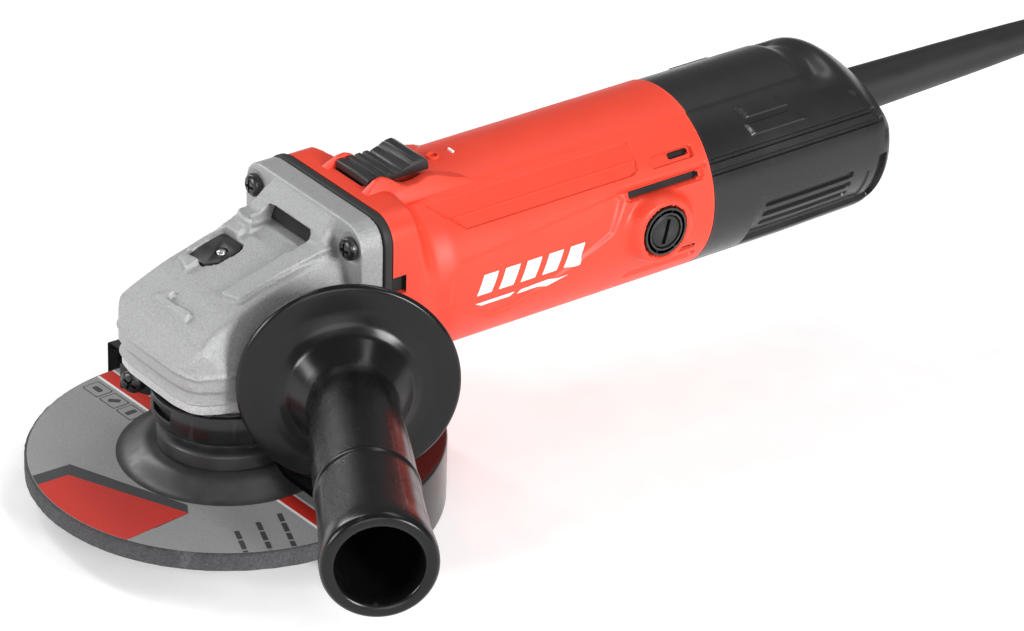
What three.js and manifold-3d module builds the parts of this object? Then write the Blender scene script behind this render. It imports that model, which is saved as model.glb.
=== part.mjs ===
// Angle grinder with a 125 mm depressed-centre wheel, in millimetres.
// The spindle runs along Z with its threaded end at the origin, the barrel-shaped body
// runs back along +Y, and the side handle leans forward on the +X side.
import * as THREE from "three";
import { mergeVertices } from "three/addons/utils/BufferGeometryUtils.js";
import Module from "manifold-3d";

const wasm = await Module();
wasm.setup();

// ---- driving dimensions ----
const GAP = 0.3; // clearance between neighbouring pieces

const WHEEL = { r: 62.5, thick: 6, z: 2, rise: 4.3, hubR: 33, flatR: 24.5, bore: 11.1 };
const SPINDLE = { thread: 7, shoulder: 10, bearing: 7.5, gear: 5.2, top: 4 };
const NECK = { r: 20.4, z0: 22, z1: 38 };
const PLATE = { z0: 38, z1: 41 };
const GUARD = { r: 68, thick: 1.8, top: 15, bottom: -6.5, bowlR: 31, collarTop: 32.5 };
const BAND = { r0: 22.3, r1: 23.5, z0: 23.3, z1: 31.8, angle: (-152 * Math.PI) / 180 };

const AXIS_Z = 56.5; // height of the motor axis
const HEAD = { front: -28, back: 36, bottom: 41.3, flangeY: 27, half: 31, top: 88.8, low: 24.5 };
const GASKET = { y0: 36.3, y1: 39.5 };
const BODY = { y0: 39.8, y1: 165.8, r: 30.9, wall: 2.3 };
const COVER = { y0: 166.1, y1: 242, r: 30.6, wall: 2.4, cordZ: 63.5 };
const FLANGE_SCREW = { x: 25.4, dz: 24.6, headR: 3.7, headY: 24.6, tip: 49 };
const BRUSH = { y: 143.6, capR: 5.6, ringR: 8.1, bossR: 11.2, out: 34.2 };
const SWITCH = { y0: 46, y1: 69, half: 8.3, top: 92.3, rodZ: 83, rodTop: 84, rodHalf: 3.6 };
const GEAR = { teeth: 24, pinionTeeth: 8, top: 48.2, tipZ: 49.9 };
const LOCK = { x: -9, y: 4.1, pin: 2.5, hole: 3.2, x0: -16.2, x1: -5, y0: -3.6, y1: 10 };
const HANDLE = { x: 46, y: 12.9, z: 49.3, lean: (30.3 * Math.PI) / 180, flangeR: 33.9, length: 107 };
const CORD = { d: 7.6, floor: GUARD.bottom, bend: 40, coilR: 57.6, pitch: 7.7, turns: 6.25 };

// ---- colours and finishes ----
const finish = (color, roughness, metalness) =>
  new THREE.MeshStandardMaterial({ color, roughness, metalness });
const MAT = {
  cast: () => finish(0xb9babb, 0.42, 0.85),
  steel: () => finish(0x9a9c9f, 0.3, 1),
  dark: () => finish(0x2b2d2f, 0.4, 0.8),
  orange: () => finish(0xe8442a, 0.38, 0),
  black: () => finish(0x1b1c1d, 0.45, 0),
  rubber: () => finish(0x141516, 0.75, 0),
  abrasive: () => finish(0x55575a, 0.95, 0),
  copper: () => finish(0xb4622d, 0.35, 0.9),
  brass: () => finish(0xb08a3c, 0.35, 0.9),
  carbon: () => finish(0x2a2a2c, 0.8, 0.1),
  natural: () => finish(0xd9d4c4, 0.6, 0),
};

// ---- solids: three.js geometry in, closed manifold solids out ----
function solid(geometry) {
  const g = geometry.clone();
  g.deleteAttribute("normal");
  g.deleteAttribute("uv");
  const merged = mergeVertices(g, 1e-4);
  const build = (corners) =>
    new wasm.Manifold(
      new wasm.Mesh({
        numProp: 3,
        vertProperties: new Float32Array(merged.attributes.position.array),
        triVerts: new Uint32Array(corners),
      }),
    );
  const tris = merged.index.array;
  const kept = [];
  for (let i = 0; i < tris.length; i += 3) {
    const [a, b, c] = [tris[i], tris[i + 1], tris[i + 2]];
    if (a !== b && b !== c && a !== c) kept.push(a, b, c);
  }
  const made = build(kept);
  if (made.volume() >= 0) return made;
  for (let i = 0; i < kept.length; i += 3) [kept[i + 1], kept[i + 2]] = [kept[i + 2], kept[i + 1]];
  return build(kept);
}

function geometryOf(made) {
  const mesh = made.getMesh();
  const g = new THREE.BufferGeometry();
  g.setAttribute("position", new THREE.BufferAttribute(new Float32Array(mesh.vertProperties), 3));
  g.setIndex(new THREE.BufferAttribute(new Uint32Array(mesh.triVerts), 1));
  g.computeVertexNormals();
  return g;
}

const join = (...parts) => parts.reduce((a, b) => a.add(b));
const cut = (base, ...tools) => tools.reduce((a, b) => a.subtract(b), base);

function box(x0, x1, y0, y1, z0, z1) {
  const g = new THREE.BoxGeometry(x1 - x0, y1 - y0, z1 - z0);
  return solid(g.translate((x0 + x1) / 2, (y0 + y1) / 2, (z0 + z1) / 2));
}

// A solid of revolution about Z from [radius, height] pairs.
function latheZ(profile, segments = 24) {
  const points = profile.map(([r, z]) => new THREE.Vector2(r, z));
  return solid(new THREE.LatheGeometry(points, segments).rotateX(Math.PI / 2));
}

const loop = (profile) => [...profile, profile[0]];
const disc = (r, z0, z1) => [[0, z0], [r, z0], [r, z1], [0, z1]];
const hollow = (r0, r1, z0, z1) => loop([[r0, z0], [r1, z0], [r1, z1], [r0, z1]]);

// Moves a solid made about Z so that its axis follows `direction` through `origin`.
function aim(made, direction, origin) {
  const turn = new THREE.Quaternion().setFromUnitVectors(
    new THREE.Vector3(0, 0, 1),
    new THREE.Vector3(...direction).normalize(),
  );
  const m = new THREE.Matrix4().compose(new THREE.Vector3(...origin), turn, new THREE.Vector3(1, 1, 1));
  return solid(geometryOf(made).applyMatrix4(m));
}

const cylZ = (r, z0, z1, seg = 14, x = 0, y = 0) => latheZ(disc(r, z0, z1), seg).translate([x, y, 0]);
const cylY = (r, y0, y1, seg = 20, x = 0, z = AXIS_Z) =>
  aim(latheZ(disc(r, 0, y1 - y0), seg), [0, 1, 0], [x, y0, z]);
const cylX = (r, x0, x1, seg = 20, y = 0, z = AXIS_Z) =>
  aim(latheZ(disc(r, 0, x1 - x0), seg), [1, 0, 0], [x0, y, z]);
// A solid of revolution about the motor axis, from [radius, y] pairs.
const turnedY = (profile, seg = 24, z = AXIS_Z) => aim(latheZ(profile, seg), [0, 1, 0], [0, 0, z]);

// Everything on the side of a plane that its normal points to is taken away.
function trim(made, point, normal) {
  const size = 400;
  const slab = aim(box(-size, size, -size, size, 0, size), normal, point);
  return made.subtract(slab);
}

function extrudeShape(points, depth) {
  const shape = new THREE.Shape(points.map(([a, b]) => new THREE.Vector2(a, b)));
  return new THREE.ExtrudeGeometry(shape, { depth, bevelEnabled: false, curveSegments: 8 });
}
// Outline in XY pushed up along Z; outline in YZ pushed along X.
const prismZ = (points, z0, z1) => solid(extrudeShape(points, z1 - z0).translate(0, 0, z0));
function prismX(points, x0, x1) {
  const g = extrudeShape(points, x1 - x0);
  g.applyMatrix4(new THREE.Matrix4().makeBasis(
    new THREE.Vector3(0, 1, 0), new THREE.Vector3(0, 0, 1), new THREE.Vector3(1, 0, 0)));
  return solid(g.translate(x0, 0, 0));
}
const mirrored = (points) => [...points, ...points.slice().reverse().map(([x, y]) => [-x, y])];

// One station of the body: a rounded rectangle in XZ as a ring of points.
function ring({ y, half, top, low, r }, steps = 5) {
  const corners = [
    [half - r, top - r, 0], [-half + r, top - r, 1],
    [-half + r, low + r, 2], [half - r, low + r, 3],
  ];
  const points = [];
  for (const [cx, cz, quarter] of corners)
    for (let i = 0; i <= steps; i++) {
      const a = ((quarter + i / steps) * Math.PI) / 2;
      points.push([cx + r * Math.cos(a), y, cz + r * Math.sin(a)]);
    }
  return points;
}

// A closed skin through rings that all have the same number of points.
function loft(rings) {
  const n = rings[0].length;
  const positions = rings.flat(2);
  const index = [];
  for (let k = 0; k + 1 < rings.length; k++)
    for (let i = 0; i < n; i++) {
      const a = k * n + i;
      const b = k * n + ((i + 1) % n);
      index.push(a, b, a + n, b, b + n, a + n);
    }
  for (const [start, flip] of [[0, true], [(rings.length - 1) * n, false]])
    for (let i = 1; i + 1 < n; i++)
      index.push(start, start + (flip ? i + 1 : i), start + (flip ? i : i + 1));
  const g = new THREE.BufferGeometry();
  g.setAttribute("position", new THREE.Float32BufferAttribute(positions, 3));
  g.setIndex(index);
  return solid(g);
}

const round = (y, r, flat = 0.96) => ({
  y, half: r, top: AXIS_Z + r, low: AXIS_Z - r, r: r * flat,
});

// ---- wheel, flanges and spindle ----
function grindingWheel() {
  const { r, thick, z, rise, hubR, flatR, bore } = WHEEL;
  return latheZ(loop([
    [bore, z + rise], [flatR, z + rise], [hubR, z], [r, z], [r, z + thick - 0.8],
    [r - 0.8, z + thick], [hubR + 0.5, z + thick], [flatR + 0.5, z + thick + rise],
    [bore, z + thick + rise],
  ]), 40);
}

function innerFlange() {
  const z = WHEEL.z + WHEEL.thick + WHEEL.rise + GAP;
  const pilot = WHEEL.bore - GAP;
  return latheZ(loop([
    [SPINDLE.thread + GAP, z - 5], [pilot, z - 5], [pilot, z], [21.8, z], [21.8, z + 4.6],
    [19.3, z + 6.4], [18.4, z + 8.9], [SPINDLE.shoulder + GAP, z + 8.9],
    [SPINDLE.shoulder + GAP, z + 4.2], [SPINDLE.thread + GAP, z + 4.2],
  ]), 24);
}

function lockNut() {
  const top = WHEEL.z + WHEEL.rise - GAP;
  const body = latheZ(loop([
    [SPINDLE.thread + GAP, -2], [16.5, -2], [16.5, 1.6], [20.5, 2.2], [20.5, top],
    [SPINDLE.thread + GAP, top],
  ]), 24);
  const holes = [0, 1, 2, 3].map((i) => {
    const a = (i * Math.PI) / 2 + Math.PI / 4;
    return cylZ(1.9, -3, 1.5, 8, 12 * Math.cos(a), 12 * Math.sin(a));
  });
  return cut(body, ...holes);
}

function spindle() {
  const seat = WHEEL.z + WHEEL.thick + WHEEL.rise + GAP + 4.2 + GAP;
  return latheZ([
    [0, 0], [6.2, 0], [SPINDLE.thread, 1], [SPINDLE.thread, seat], [SPINDLE.shoulder, seat],
    [SPINDLE.shoulder, 22.3], [SPINDLE.bearing, 22.3], [SPINDLE.bearing, 38.5],
    [SPINDLE.gear, 38.5], [SPINDLE.gear, 49], [SPINDLE.top, 49], [SPINDLE.top, 62.2], [0, 62.2],
  ], 18);
}

// One closed ring: the shields sit a little back from the faces of both races.
function ballBearing(r0, r1, z0, z1) {
  const race = (r1 - r0) * 0.28;
  const back = 0.7;
  return latheZ(loop([
    [r0, z0], [r0 + race, z0], [r0 + race, z0 + back], [r1 - race, z0 + back], [r1 - race, z0],
    [r1, z0], [r1, z1], [r0, z1],
  ]), 18);
}

// Crown gear: teeth on the upper face, four lock holes a quarter turn apart.
function bevelGear() {
  const teeth = GEAR.teeth;
  const body = latheZ(loop([
    [SPINDLE.gear + GAP, 39], [9, 39], [9, 41.6], [19.5, 41.6], [21, 43], [21, 47.2],
    [13.2, GEAR.top], [SPINDLE.gear + GAP, GEAR.top],
  ]), 24);
  const tooth = prismZ([[13.6, -0.5], [20.6, -1.1], [20.6, 1.1], [13.6, 0.5]], 45.5, GEAR.tipZ);
  const crown = Array.from({ length: teeth }, (_, i) =>
    tooth.rotate([0, 0, ((i + 0.5) * 360) / teeth]));
  const reach = Math.hypot(LOCK.x, LOCK.y);
  const holes = [0, 1, 2, 3].map((i) => {
    const a = Math.atan2(LOCK.y, LOCK.x) + (i * Math.PI) / 2;
    return cylZ(LOCK.hole, 43.5, 52, 8, reach * Math.cos(a), reach * Math.sin(a));
  });
  return cut(join(body, ...crown), ...holes);
}

// ---- bearing box, guard and its clamp ----
// Right-hand side of the head seen from above, from the front to y = 20.
const headSide = (inset) => [
  [0, HEAD.front + inset], [12, -27.6 + inset], [19 - inset * 0.5, -26 + inset],
  [23 - inset * 0.7, -22.5 + inset * 0.7], [25.4 - inset, -17], [26.2 - inset, -12],
  [27 - inset, 4], [27.5 - inset, 20],
];

const plateScrews = [[19.3, -19.2], [-19.3, -19.2], [20, 18.6], [-20, 18.6]];

function bearingBox() {
  const body = join(
    prismZ(mirrored([...headSide(0.8).slice(0, 6), [25.2, 22.5]]), PLATE.z0, PLATE.z1),
    cylZ(NECK.r, NECK.z0, PLATE.z0 + 1, 32),
  );
  const bores = [
    latheZ([[0, 20], [11, 20], [11, 24], [17.8, 24], [17.8, 36], [14, 36], [14, 42], [0, 42]]),
    ...plateScrews.map(([x, y]) => cylZ(2.3, 37, 42, 8, x, y)),
  ];
  return cut(body, ...bores);
}

function wheelGuard() {
  const { r, thick, top, bottom, bowlR, collarTop } = GUARD;
  const collarIn = NECK.r + GAP;
  const collarOut = BAND.r0 - GAP;
  const shell = latheZ(loop([
    [r - thick, bottom], [r, bottom], [r, top - 1.5], [r - 1.5, top], [bowlR + 1, top],
    [collarOut, 22.9], [collarOut, collarTop], [collarIn, collarTop], [collarIn, 21],
    [bowlR - 1, top - thick], [r - thick, top - thick],
  ]), 48);
  const collar = latheZ(hollow(collarIn, collarOut, 21.6, collarTop), 32);
  return join(shell.intersect(box(-80, 80, 0, 80, -20, 60)), collar);
}

// Strap that squeezes the guard's collar onto the neck; its two ears take the clamp screw.
function guardBand() {
  const { r0, r1, z0, z1, angle } = BAND;
  const strap = latheZ(hollow(r0, r1, z0, z1), 32);
  const ears = cut(box(r0 + 0.2, 34.5, -5.4, 5.4, z0, z1), box(20, 40, -3.2, 3.2, z0 - 2, z1 + 2));
  const slit = box(15, 30, -3.2, 3.2, z0 - 2, z1 + 2);
  const hole = aim(cylZ(2.3, -8, 8, 10), [0, 1, 0], [29.5, 0, (z0 + z1) / 2]);
  const turned = cut(join(strap, ears), slit, hole).rotate([0, 0, (angle * 180) / Math.PI]);
  const window = box(-2.6, 2.6, -26, -20, 26, 29.5).rotate([0, 0, -3]);
  return turned.subtract(window);
}

const turnClamp = (made) => made.rotate([0, 0, (BAND.angle * 180) / Math.PI]);
const clampZ = (BAND.z0 + BAND.z1) / 2;

function guardScrew() {
  const body = latheZ([[0, -8], [2, -8], [2, 5.8], [3.9, 5.8], [3.9, 8.6], [0, 8.6]], 12);
  const cross = join(box(-2.2, 2.2, -0.45, 0.45, 7.8, 10), box(-0.45, 0.45, -2.2, 2.2, 7.8, 10));
  return turnClamp(aim(body.subtract(cross), [0, 1, 0], [29.5, 0, clampZ]));
}

// ---- gear housing ----
const handleDir = [Math.cos(HANDLE.lean), -Math.sin(HANDLE.lean), 0];
const handleAt = (s) => [HANDLE.x + s * handleDir[0], HANDLE.y + s * handleDir[1], HANDLE.z];

const headProfile = [
  [HEAD.front, HEAD.bottom], [HEAD.front, 51], [-25, 56.6], [-22.6, 60.2], [-20, 62.4], [-16, 64.6],
  [-8.6, 68], [0, 70.8], [6.5, 72.9], [14, 75], [21, 76.5], [22.6, 82], [27, 86.6], [30, 88.4],
  [HEAD.back, HEAD.top], [HEAD.back, HEAD.low], [28.5, HEAD.low], [25.4, 33], [24.2, HEAD.bottom],
];

function headShell() {
  const plan = prismZ(mirrored([...headSide(0), [HEAD.half, 30], [HEAD.half, HEAD.back]]), 20, 95);
  let body = plan.intersect(prismX(headProfile, -40, 40));
  for (const side of [1, -1]) {
    body = trim(body, [side * 25.8, -12, 51], [side * 0.93, -0.06, 0.37]);
    body = trim(body, [side * 18, -13.6, 65.7], [side * 0.81, -0.26, 0.59]);
  }
  const flange = loft([
    ring({ y: HEAD.flangeY, half: 30, top: HEAD.top - 1.5, low: HEAD.low + 1.2, r: 8 }),
    ring({ y: HEAD.flangeY + 2, half: HEAD.half, top: HEAD.top, low: HEAD.low, r: 9 }),
    ring({ y: HEAD.back, half: HEAD.half, top: HEAD.top, low: HEAD.low, r: 9 }),
  ]);
  return join(body, flange);
}

function gearHousing() {
  const bosses = [1, -1].map((side) => aim(
    latheZ([[0, 0], [10.5, 0], [9.2, 8.5], [8.4, 9.3], [0, 9.3]], 18),
    [side * handleDir[0], handleDir[1], 0],
    [side * handleAt(-19.5)[0], handleAt(-19.5)[1], HANDLE.z],
  ));
  const rib = (x0, x1) => trim(box(x0, x1, -8, 24, 62, 79), [0, -8, 68.9], [0, -0.284, 0.959]);
  const hump = box(-16, -8.7, 13.8, 24, 66, 79.5);
  const outside = join(headShell(), ...bosses, rib(10.2, 17), rib(-17, -10.2), hump);
  const screwPockets = [];
  for (const side of [1, -1])
    for (const dz of [FLANGE_SCREW.dz, -FLANGE_SCREW.dz])
      screwPockets.push(
        cylY(4.6, 10, FLANGE_SCREW.headY + 3.5, 10, side * FLANGE_SCREW.x, AXIS_Z + dz),
        cylY(2.3, 20, 40, 8, side * FLANGE_SCREW.x, AXIS_Z + dz),
      );
  const holes = [
    latheZ([[0, 30], [22.2, 30], [22.2, 51.5], [15, 55.5], [7.2, 55.5], [7.2, 62.6], [0, 62.6]], 24),
    cylY(13.4, 18, 40, 20),
    cylY(8.4, 6, 20, 12),
    cylY(20.5, 30, 40, 24),
    box(-10.2, 10.2, 14, 40, 77, 81.4),
    box(-17, 17, 30.5, 40, 70, 81.4),
    cylZ(LOCK.pin + GAP, 50, 90, 12, LOCK.x, LOCK.y),
    box(LOCK.x0 - 0.6, LOCK.x1 + 0.6, LOCK.y0 - 0.6, LOCK.y1 + 0.6, 64.5, 90),
    ...plateScrews.map(([x, y]) => cylZ(2.3, 40, 52, 8, x, y)),
    ...[1, -1].map((side) => aim(
      cylZ(4.3, -14, 14, 12),
      [side * handleDir[0], handleDir[1], 0],
      [side * handleAt(-15)[0], handleAt(-15)[1], HANDLE.z],
    )),
    ...screwPockets,
  ];
  return cut(outside, ...holes);
}

function lockButton() {
  const { x, y, x0, x1, y0, y1, pin } = LOCK;
  const body = prismX([
    [y0, 67.8], [y0, 69.4], [y0 + 1.4, 70.6], [y1 - 1, 73.4], [y1, 72.8], [y1, 67.8],
  ], x0, x1);
  const corner = prismZ([[x1 - 5, y0 - 1], [x1 + 1, y0 - 1], [x1 + 1, y0 + 7]], 60, 80);
  return cut(body, corner, cylZ(pin + GAP, 60, 90, 12, x, y));
}

const lockPin = () => latheZ([
  [0, 49.1], [LOCK.pin, 49.1], [LOCK.pin, 72.4], [1.8, 72.9], [0, 72.9],
], 12).translate([LOCK.x, LOCK.y, 0]);

// ---- motor housing and rear cover ----
function flangeSection(y, r, shrink = 0) {
  return ring({ y, half: HEAD.half - shrink, top: HEAD.top - shrink, low: HEAD.low + shrink, r });
}

function gasket() {
  const outer = loft([flangeSection(GASKET.y0, 9), flangeSection(GASKET.y1, 9)]);
  const holes = [];
  for (const side of [1, -1])
    for (const dz of [FLANGE_SCREW.dz, -FLANGE_SCREW.dz])
      holes.push(cylY(2.3, 30, 45, 8, side * FLANGE_SCREW.x, AXIS_Z + dz));
  return cut(outer, cylY(26.8, 30, 45, 24), ...holes);
}

// A slot through the wall, square to it, on the side of the barrel.
function wallSlot(side, degrees, y0, y1, height) {
  const slot = box(24, 38, y0, y1, -height / 2, height / 2).rotate([0, -degrees, 0]);
  return (side > 0 ? slot : slot.mirror([1, 0, 0])).translate([0, 0, AXIS_Z]);
}

function motorHousing() {
  const outer = loft([
    flangeSection(BODY.y0, 9), flangeSection(50, 11, 0.3), flangeSection(56, 20, 0.4),
    ring(round(63, BODY.r)), ring(round(BODY.y1, BODY.r)),
  ]);
  const bosses = [1, -1].map((side) =>
    cylX(BRUSH.bossR, side > 0 ? 26 : -33.6, side > 0 ? 33.6 : -26, 22, BRUSH.y));
  const walls = [1, -1].map((side) =>
    box(side > 0 ? 9 : -12, side > 0 ? 12 : -9, 42, 84, 82, 90.2));
  const arms = [45, 135, 225, 315].map((a) =>
    box(12.6, 29.5, 157.5, 163, -2, 2).rotate([0, a, 0]).translate([0, 0, AXIS_Z]));
  const spider = join(turnedY(hollow(11.4, 15, 156.5, 165), 18), ...arms);
  const holes = [
    cylY(BODY.r - BODY.wall, 38, 170, 32),
    ...[1, -1].map((side) =>
      cylX(BRUSH.ringR + GAP, side > 0 ? 20 : -40, side > 0 ? 40 : -20, 18, BRUSH.y)),
    box(-4.8, 4.8, 42, 82, 80, 95),
    box(-40, 40, 39, 44.8, 62.8, 69.3),
  ];
  for (const side of [1, -1]) {
    holes.push(
      wallSlot(side, 39.5, 145.2, 160.4, 3.6),
      wallSlot(side, 25, 133.5, 160, 2.4),
    );
    for (const dz of [FLANGE_SCREW.dz, -FLANGE_SCREW.dz])
      holes.push(cylY(2.3, 38, FLANGE_SCREW.tip + 1, 8, side * FLANGE_SCREW.x, AXIS_Z + dz));
  }
  return join(cut(join(outer, ...bosses, ...walls), ...holes), spider);
}

// The plane that slopes the top of the tail down to the cord.
const tailSlope = (inward) => [[0, 231 - inward, 87.2 - inward], [0, 0.72, 0.69]];

function coverSkin(inset, y0, y1) {
  const r = COVER.r - inset;
  const skin = loft([
    ring(round(y0, r)), ring(round(y1 - 8, r - 0.6)), ring(round(y1 - 2.5, r - 2)),
    ring(round(y1, r - 4.5)),
  ]);
  const [point, normal] = tailSlope(inset);
  return trim(skin, point, normal);
}

function rearCover() {
  const outer = coverSkin(0, COVER.y0, COVER.y1);
  const inner = coverSkin(COVER.wall, COVER.y0 - 2, COVER.y1 - 3.4);
  const holes = [inner, cylY(8.4, 230, 250, 16, 0, COVER.cordZ), cylY(2, 230, 250, 8, -16, 42)];
  for (const side of [1, -1])
    for (const angle of [-14, -24, -34])
      holes.push(wallSlot(side, angle, 190, 232, 2.6));
  const post = cylY(4.2, 224, 239.5, 10, -16, 42);
  return join(cut(outer, ...holes), cut(post, cylY(2, 220, 250, 8, -16, 42)));
}

// ---- motor ----
function armatureShaft() {
  return turnedY([
    [0, 9.2], [3.2, 9.2], [3.2, 21.8], [5, 21.8], [5, 35], [6, 35], [6, 156.2], [4, 156.2],
    [4, 166.6], [0, 166.6],
  ], 16);
}

function pinion() {
  const teeth = GEAR.pinionTeeth;
  const body = turnedY(loop([[3.5, 10], [5, 10], [5.6, 21], [3.5, 21]]), 16);
  const tooth = prismX([[10, 4.4], [10, 6.1], [21, 7.4], [21, 5.2]], -1, 1);
  const crown = Array.from({ length: teeth }, (_, i) =>
    tooth.rotate([0, (i * 360) / teeth, 0]).translate([0, 0, AXIS_Z]));
  return join(body, ...crown);
}

function coolingFan() {
  const blades = 9;
  const hub = turnedY(loop([[6.3, 42], [9.5, 42], [10.5, 44.5], [26, 44.5], [26, 46], [9.5, 46],
    [9.5, 52], [6.3, 52]]), 24);
  const blade = box(9, 25.4, 45.5, 51.6, -0.6, 0.6);
  const wheel = Array.from({ length: blades }, (_, i) =>
    blade.rotate([0, (i * 360) / blades, 0]).translate([0, 0, AXIS_Z]));
  return join(hub, ...wheel);
}

const baffle = () => cut(
  turnedY(hollow(16, 28, 54.6, 56.4), 24),
  box(-6, 6, 50, 60, 82.2, 90),
);

const SLOTS = 8;
function armatureCore() {
  const body = turnedY(hollow(6.3, 18.5, 72, 120), 24);
  const slot = box(16.2, 20, 71, 121, -0.8, 0.8);
  return cut(body, ...Array.from({ length: SLOTS }, (_, i) =>
    slot.rotate([0, (i * 360) / SLOTS, 0]).translate([0, 0, AXIS_Z])));
}

// Both end turns of the winding and the bars that join them through the core's slots.
function armatureWinding() {
  const end = (y0, y1) => turnedY(loop([
    [6.3, y0], [14, y0], [17.6, y0 + (y1 - y0) * 0.3], [17.6, y1 - (y1 - y0) * 0.3], [14, y1],
    [6.3, y1],
  ]), 20);
  const bar = box(16.5, 17.1, 66, 126, -0.5, 0.5);
  const bars = Array.from({ length: SLOTS }, (_, i) =>
    bar.rotate([0, (i * 360) / SLOTS, 0]).translate([0, 0, AXIS_Z]));
  return join(end(61.5, 71.7), end(120.3, 131.5), ...bars);
}

function commutator() {
  const bars = 8;
  const body = turnedY(loop([[6.3, 133], [12, 133], [12, 136], [11.2, 136], [11.2, 153],
    [6.3, 153]]), 16);
  const slot = box(10.4, 14, 132, 154, -0.25, 0.25);
  return cut(body, ...Array.from({ length: bars }, (_, i) =>
    slot.rotate([0, (i * 360) / bars + 7.5, 0]).translate([0, 0, AXIS_Z])));
}

// Field laminations: a ring with two poles, and pockets beside the poles for the coils.
const COIL = { r0: 19.6, r1: 24.6, from: 38, to: 58 };
function sector(r0, r1, a0, a1, y0, y1, steps = 5) {
  const arc = (r, from, to) => Array.from({ length: steps + 1 }, (_, i) => {
    const a = ((from + ((to - from) * i) / steps) * Math.PI) / 180;
    return [r * Math.cos(a), r * Math.sin(a)];
  });
  const g = extrudeShape([...arc(r1, a0, a1), ...arc(r0, a1, a0)], y1 - y0);
  g.applyMatrix4(new THREE.Matrix4().makeBasis(
    new THREE.Vector3(1, 0, 0), new THREE.Vector3(0, 0, 1), new THREE.Vector3(0, -1, 0)));
  return solid(g.translate(0, y1, AXIS_Z));
}
const pocketAngles = [[COIL.from, COIL.to], [180 - COIL.to, 180 - COIL.from],
  [180 + COIL.from, 180 + COIL.to], [360 - COIL.to, 360 - COIL.from]];

function statorCore() {
  const body = turnedY(hollow(19.1, 26.2, 72, 120), 24);
  const pockets = pocketAngles.map(([a, b]) =>
    sector(COIL.r0 - 3, COIL.r1 + GAP, a - 1, b + 1, 70, 122, 3));
  return cut(body, ...pockets);
}

function fieldCoil(flip) {
  const a0 = flip ? 180 + COIL.from : COIL.from;
  const a1 = flip ? 360 - COIL.from : 180 - COIL.from;
  const legs = [[a0, a0 + 20], [a1 - 20, a1]].map(([a, b]) =>
    sector(COIL.r0, COIL.r1, a, b, 64, 128, 3));
  const ends = [[64, 70.5], [121.5, 128]].map(([y0, y1]) =>
    sector(COIL.r0, COIL.r1, a0, a1, y0, y1, 8));
  return join(...legs, ...ends);
}

// ---- brushes ----
const sided = (side, make) => (side > 0 ? make : make.mirror([1, 0, 0]));

function brushHolder(side) {
  const ringPart = cylX(BRUSH.ringR, 25.5, BRUSH.out - 0.2, 18, BRUSH.y);
  const tube = box(14.2, 26, BRUSH.y - 5, BRUSH.y + 5, AXIS_Z - 6.2, AXIS_Z + 6.2);
  const holes = [
    box(13, 28, BRUSH.y - 3.4, BRUSH.y + 3.4, AXIS_Z - 4.8, AXIS_Z + 4.8),
    cylX(BRUSH.capR + GAP, 27, 36, 14, BRUSH.y),
  ];
  return sided(side, cut(join(ringPart, tube), ...holes));
}

const carbonBrush = (side) => sided(side,
  box(11.6, 21.4, BRUSH.y - 3.05, BRUSH.y + 3.05, AXIS_Z - 4.4, AXIS_Z + 4.4));

function helix(radius, turns, pitch, wire) {
  const points = [];
  const perTurn = 7;
  const steps = turns * perTurn;
  for (let i = 0; i <= steps; i++) {
    const a = (i * 2 * Math.PI) / perTurn;
    points.push(new THREE.Vector3(radius * Math.cos(a), radius * Math.sin(a), (i * pitch) / perTurn));
  }
  const section = new THREE.Shape();
  section.absarc(0, 0, wire, 0, 2 * Math.PI);
  return solid(new THREE.ExtrudeGeometry(section, {
    steps, curveSegments: 2, bevelEnabled: false, extrudePath: new THREE.CatmullRomCurve3(points),
  }));
}

const brushSpring = (side) => sided(side,
  aim(helix(2.4, 3, 1.45, 0.35), [1, 0, 0], [22.1, BRUSH.y, AXIS_Z]));

function brushCap(side) {
  const plug = cylX(BRUSH.capR, 27.3, BRUSH.out, 14, BRUSH.y);
  const slot = box(BRUSH.out - 1.4, 40, BRUSH.y - 0.9, BRUSH.y + 0.9, AXIS_Z - 4.4, AXIS_Z + 4.4);
  return sided(side, plug.subtract(slot));
}

// ---- switch ----
function switchButton() {
  const { y0, y1, half, top } = SWITCH;
  const cap = prismX([
    [y0, 89.1], [y0 + 0.5, 91], [y0 + 13, 91], [y0 + 17, top], [y1 - 2, top],
    [y1 - 0.3, 91.4], [y1, 89.1],
  ], -half, half);
  const grooves = [2.6, 5.4, 8.2, 11].map((d) => box(-12, 12, y0 + d, y0 + d + 1, 90, 93));
  const stem = box(-3.6, 3.6, 56, 64, SWITCH.rodTop + GAP, 89.5);
  return join(cut(cap, ...grooves), stem);
}

function switchRod() {
  const bar = box(-SWITCH.rodHalf, SWITCH.rodHalf, 52, 176, SWITCH.rodZ, SWITCH.rodTop);
  const fork = box(-2.4, 2.4, 172.4, 175.4, 74, SWITCH.rodZ + 0.5);
  return join(bar, fork);
}

function switchBody() {
  const body = box(-9, 9, 184, 212, 64, 81.5);
  const lever = box(-2, 2, 180, 185, 70, 80);
  return join(body, lever);
}

// ---- side handle ----
function sideGrip() {
  const end = HANDLE.length;
  const profile = [
    [0, 2.6], [5.2, 2.6], [5.2, -2.4], [9.6, -2.4], [10.4, 0], [33, 0], [HANDLE.flangeR, 1.4],
    [32.6, 3.2], [22, 4.6], [18.6, 6.6], [16.8, 9.6], [14.2, 12.4], [13.2, 15.5], [14.6, 36],
    [15.5, 66], [17.2, end - 4], [16.4, end], [12.6, end], [11.6, end - 50], [0, end - 50],
  ];
  return aim(latheZ(profile, 28), handleDir, handleAt(0));
}

const handleStud = () => aim(latheZ([
  [0, -24.5], [3.9, -24.5], [3.9, -8.2], [8.6, -8.2], [8.6, -2.8], [4.8, -2.8], [4.8, 2.2],
  [0, 2.2],
], 16), handleDir, handleAt(0));

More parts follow.
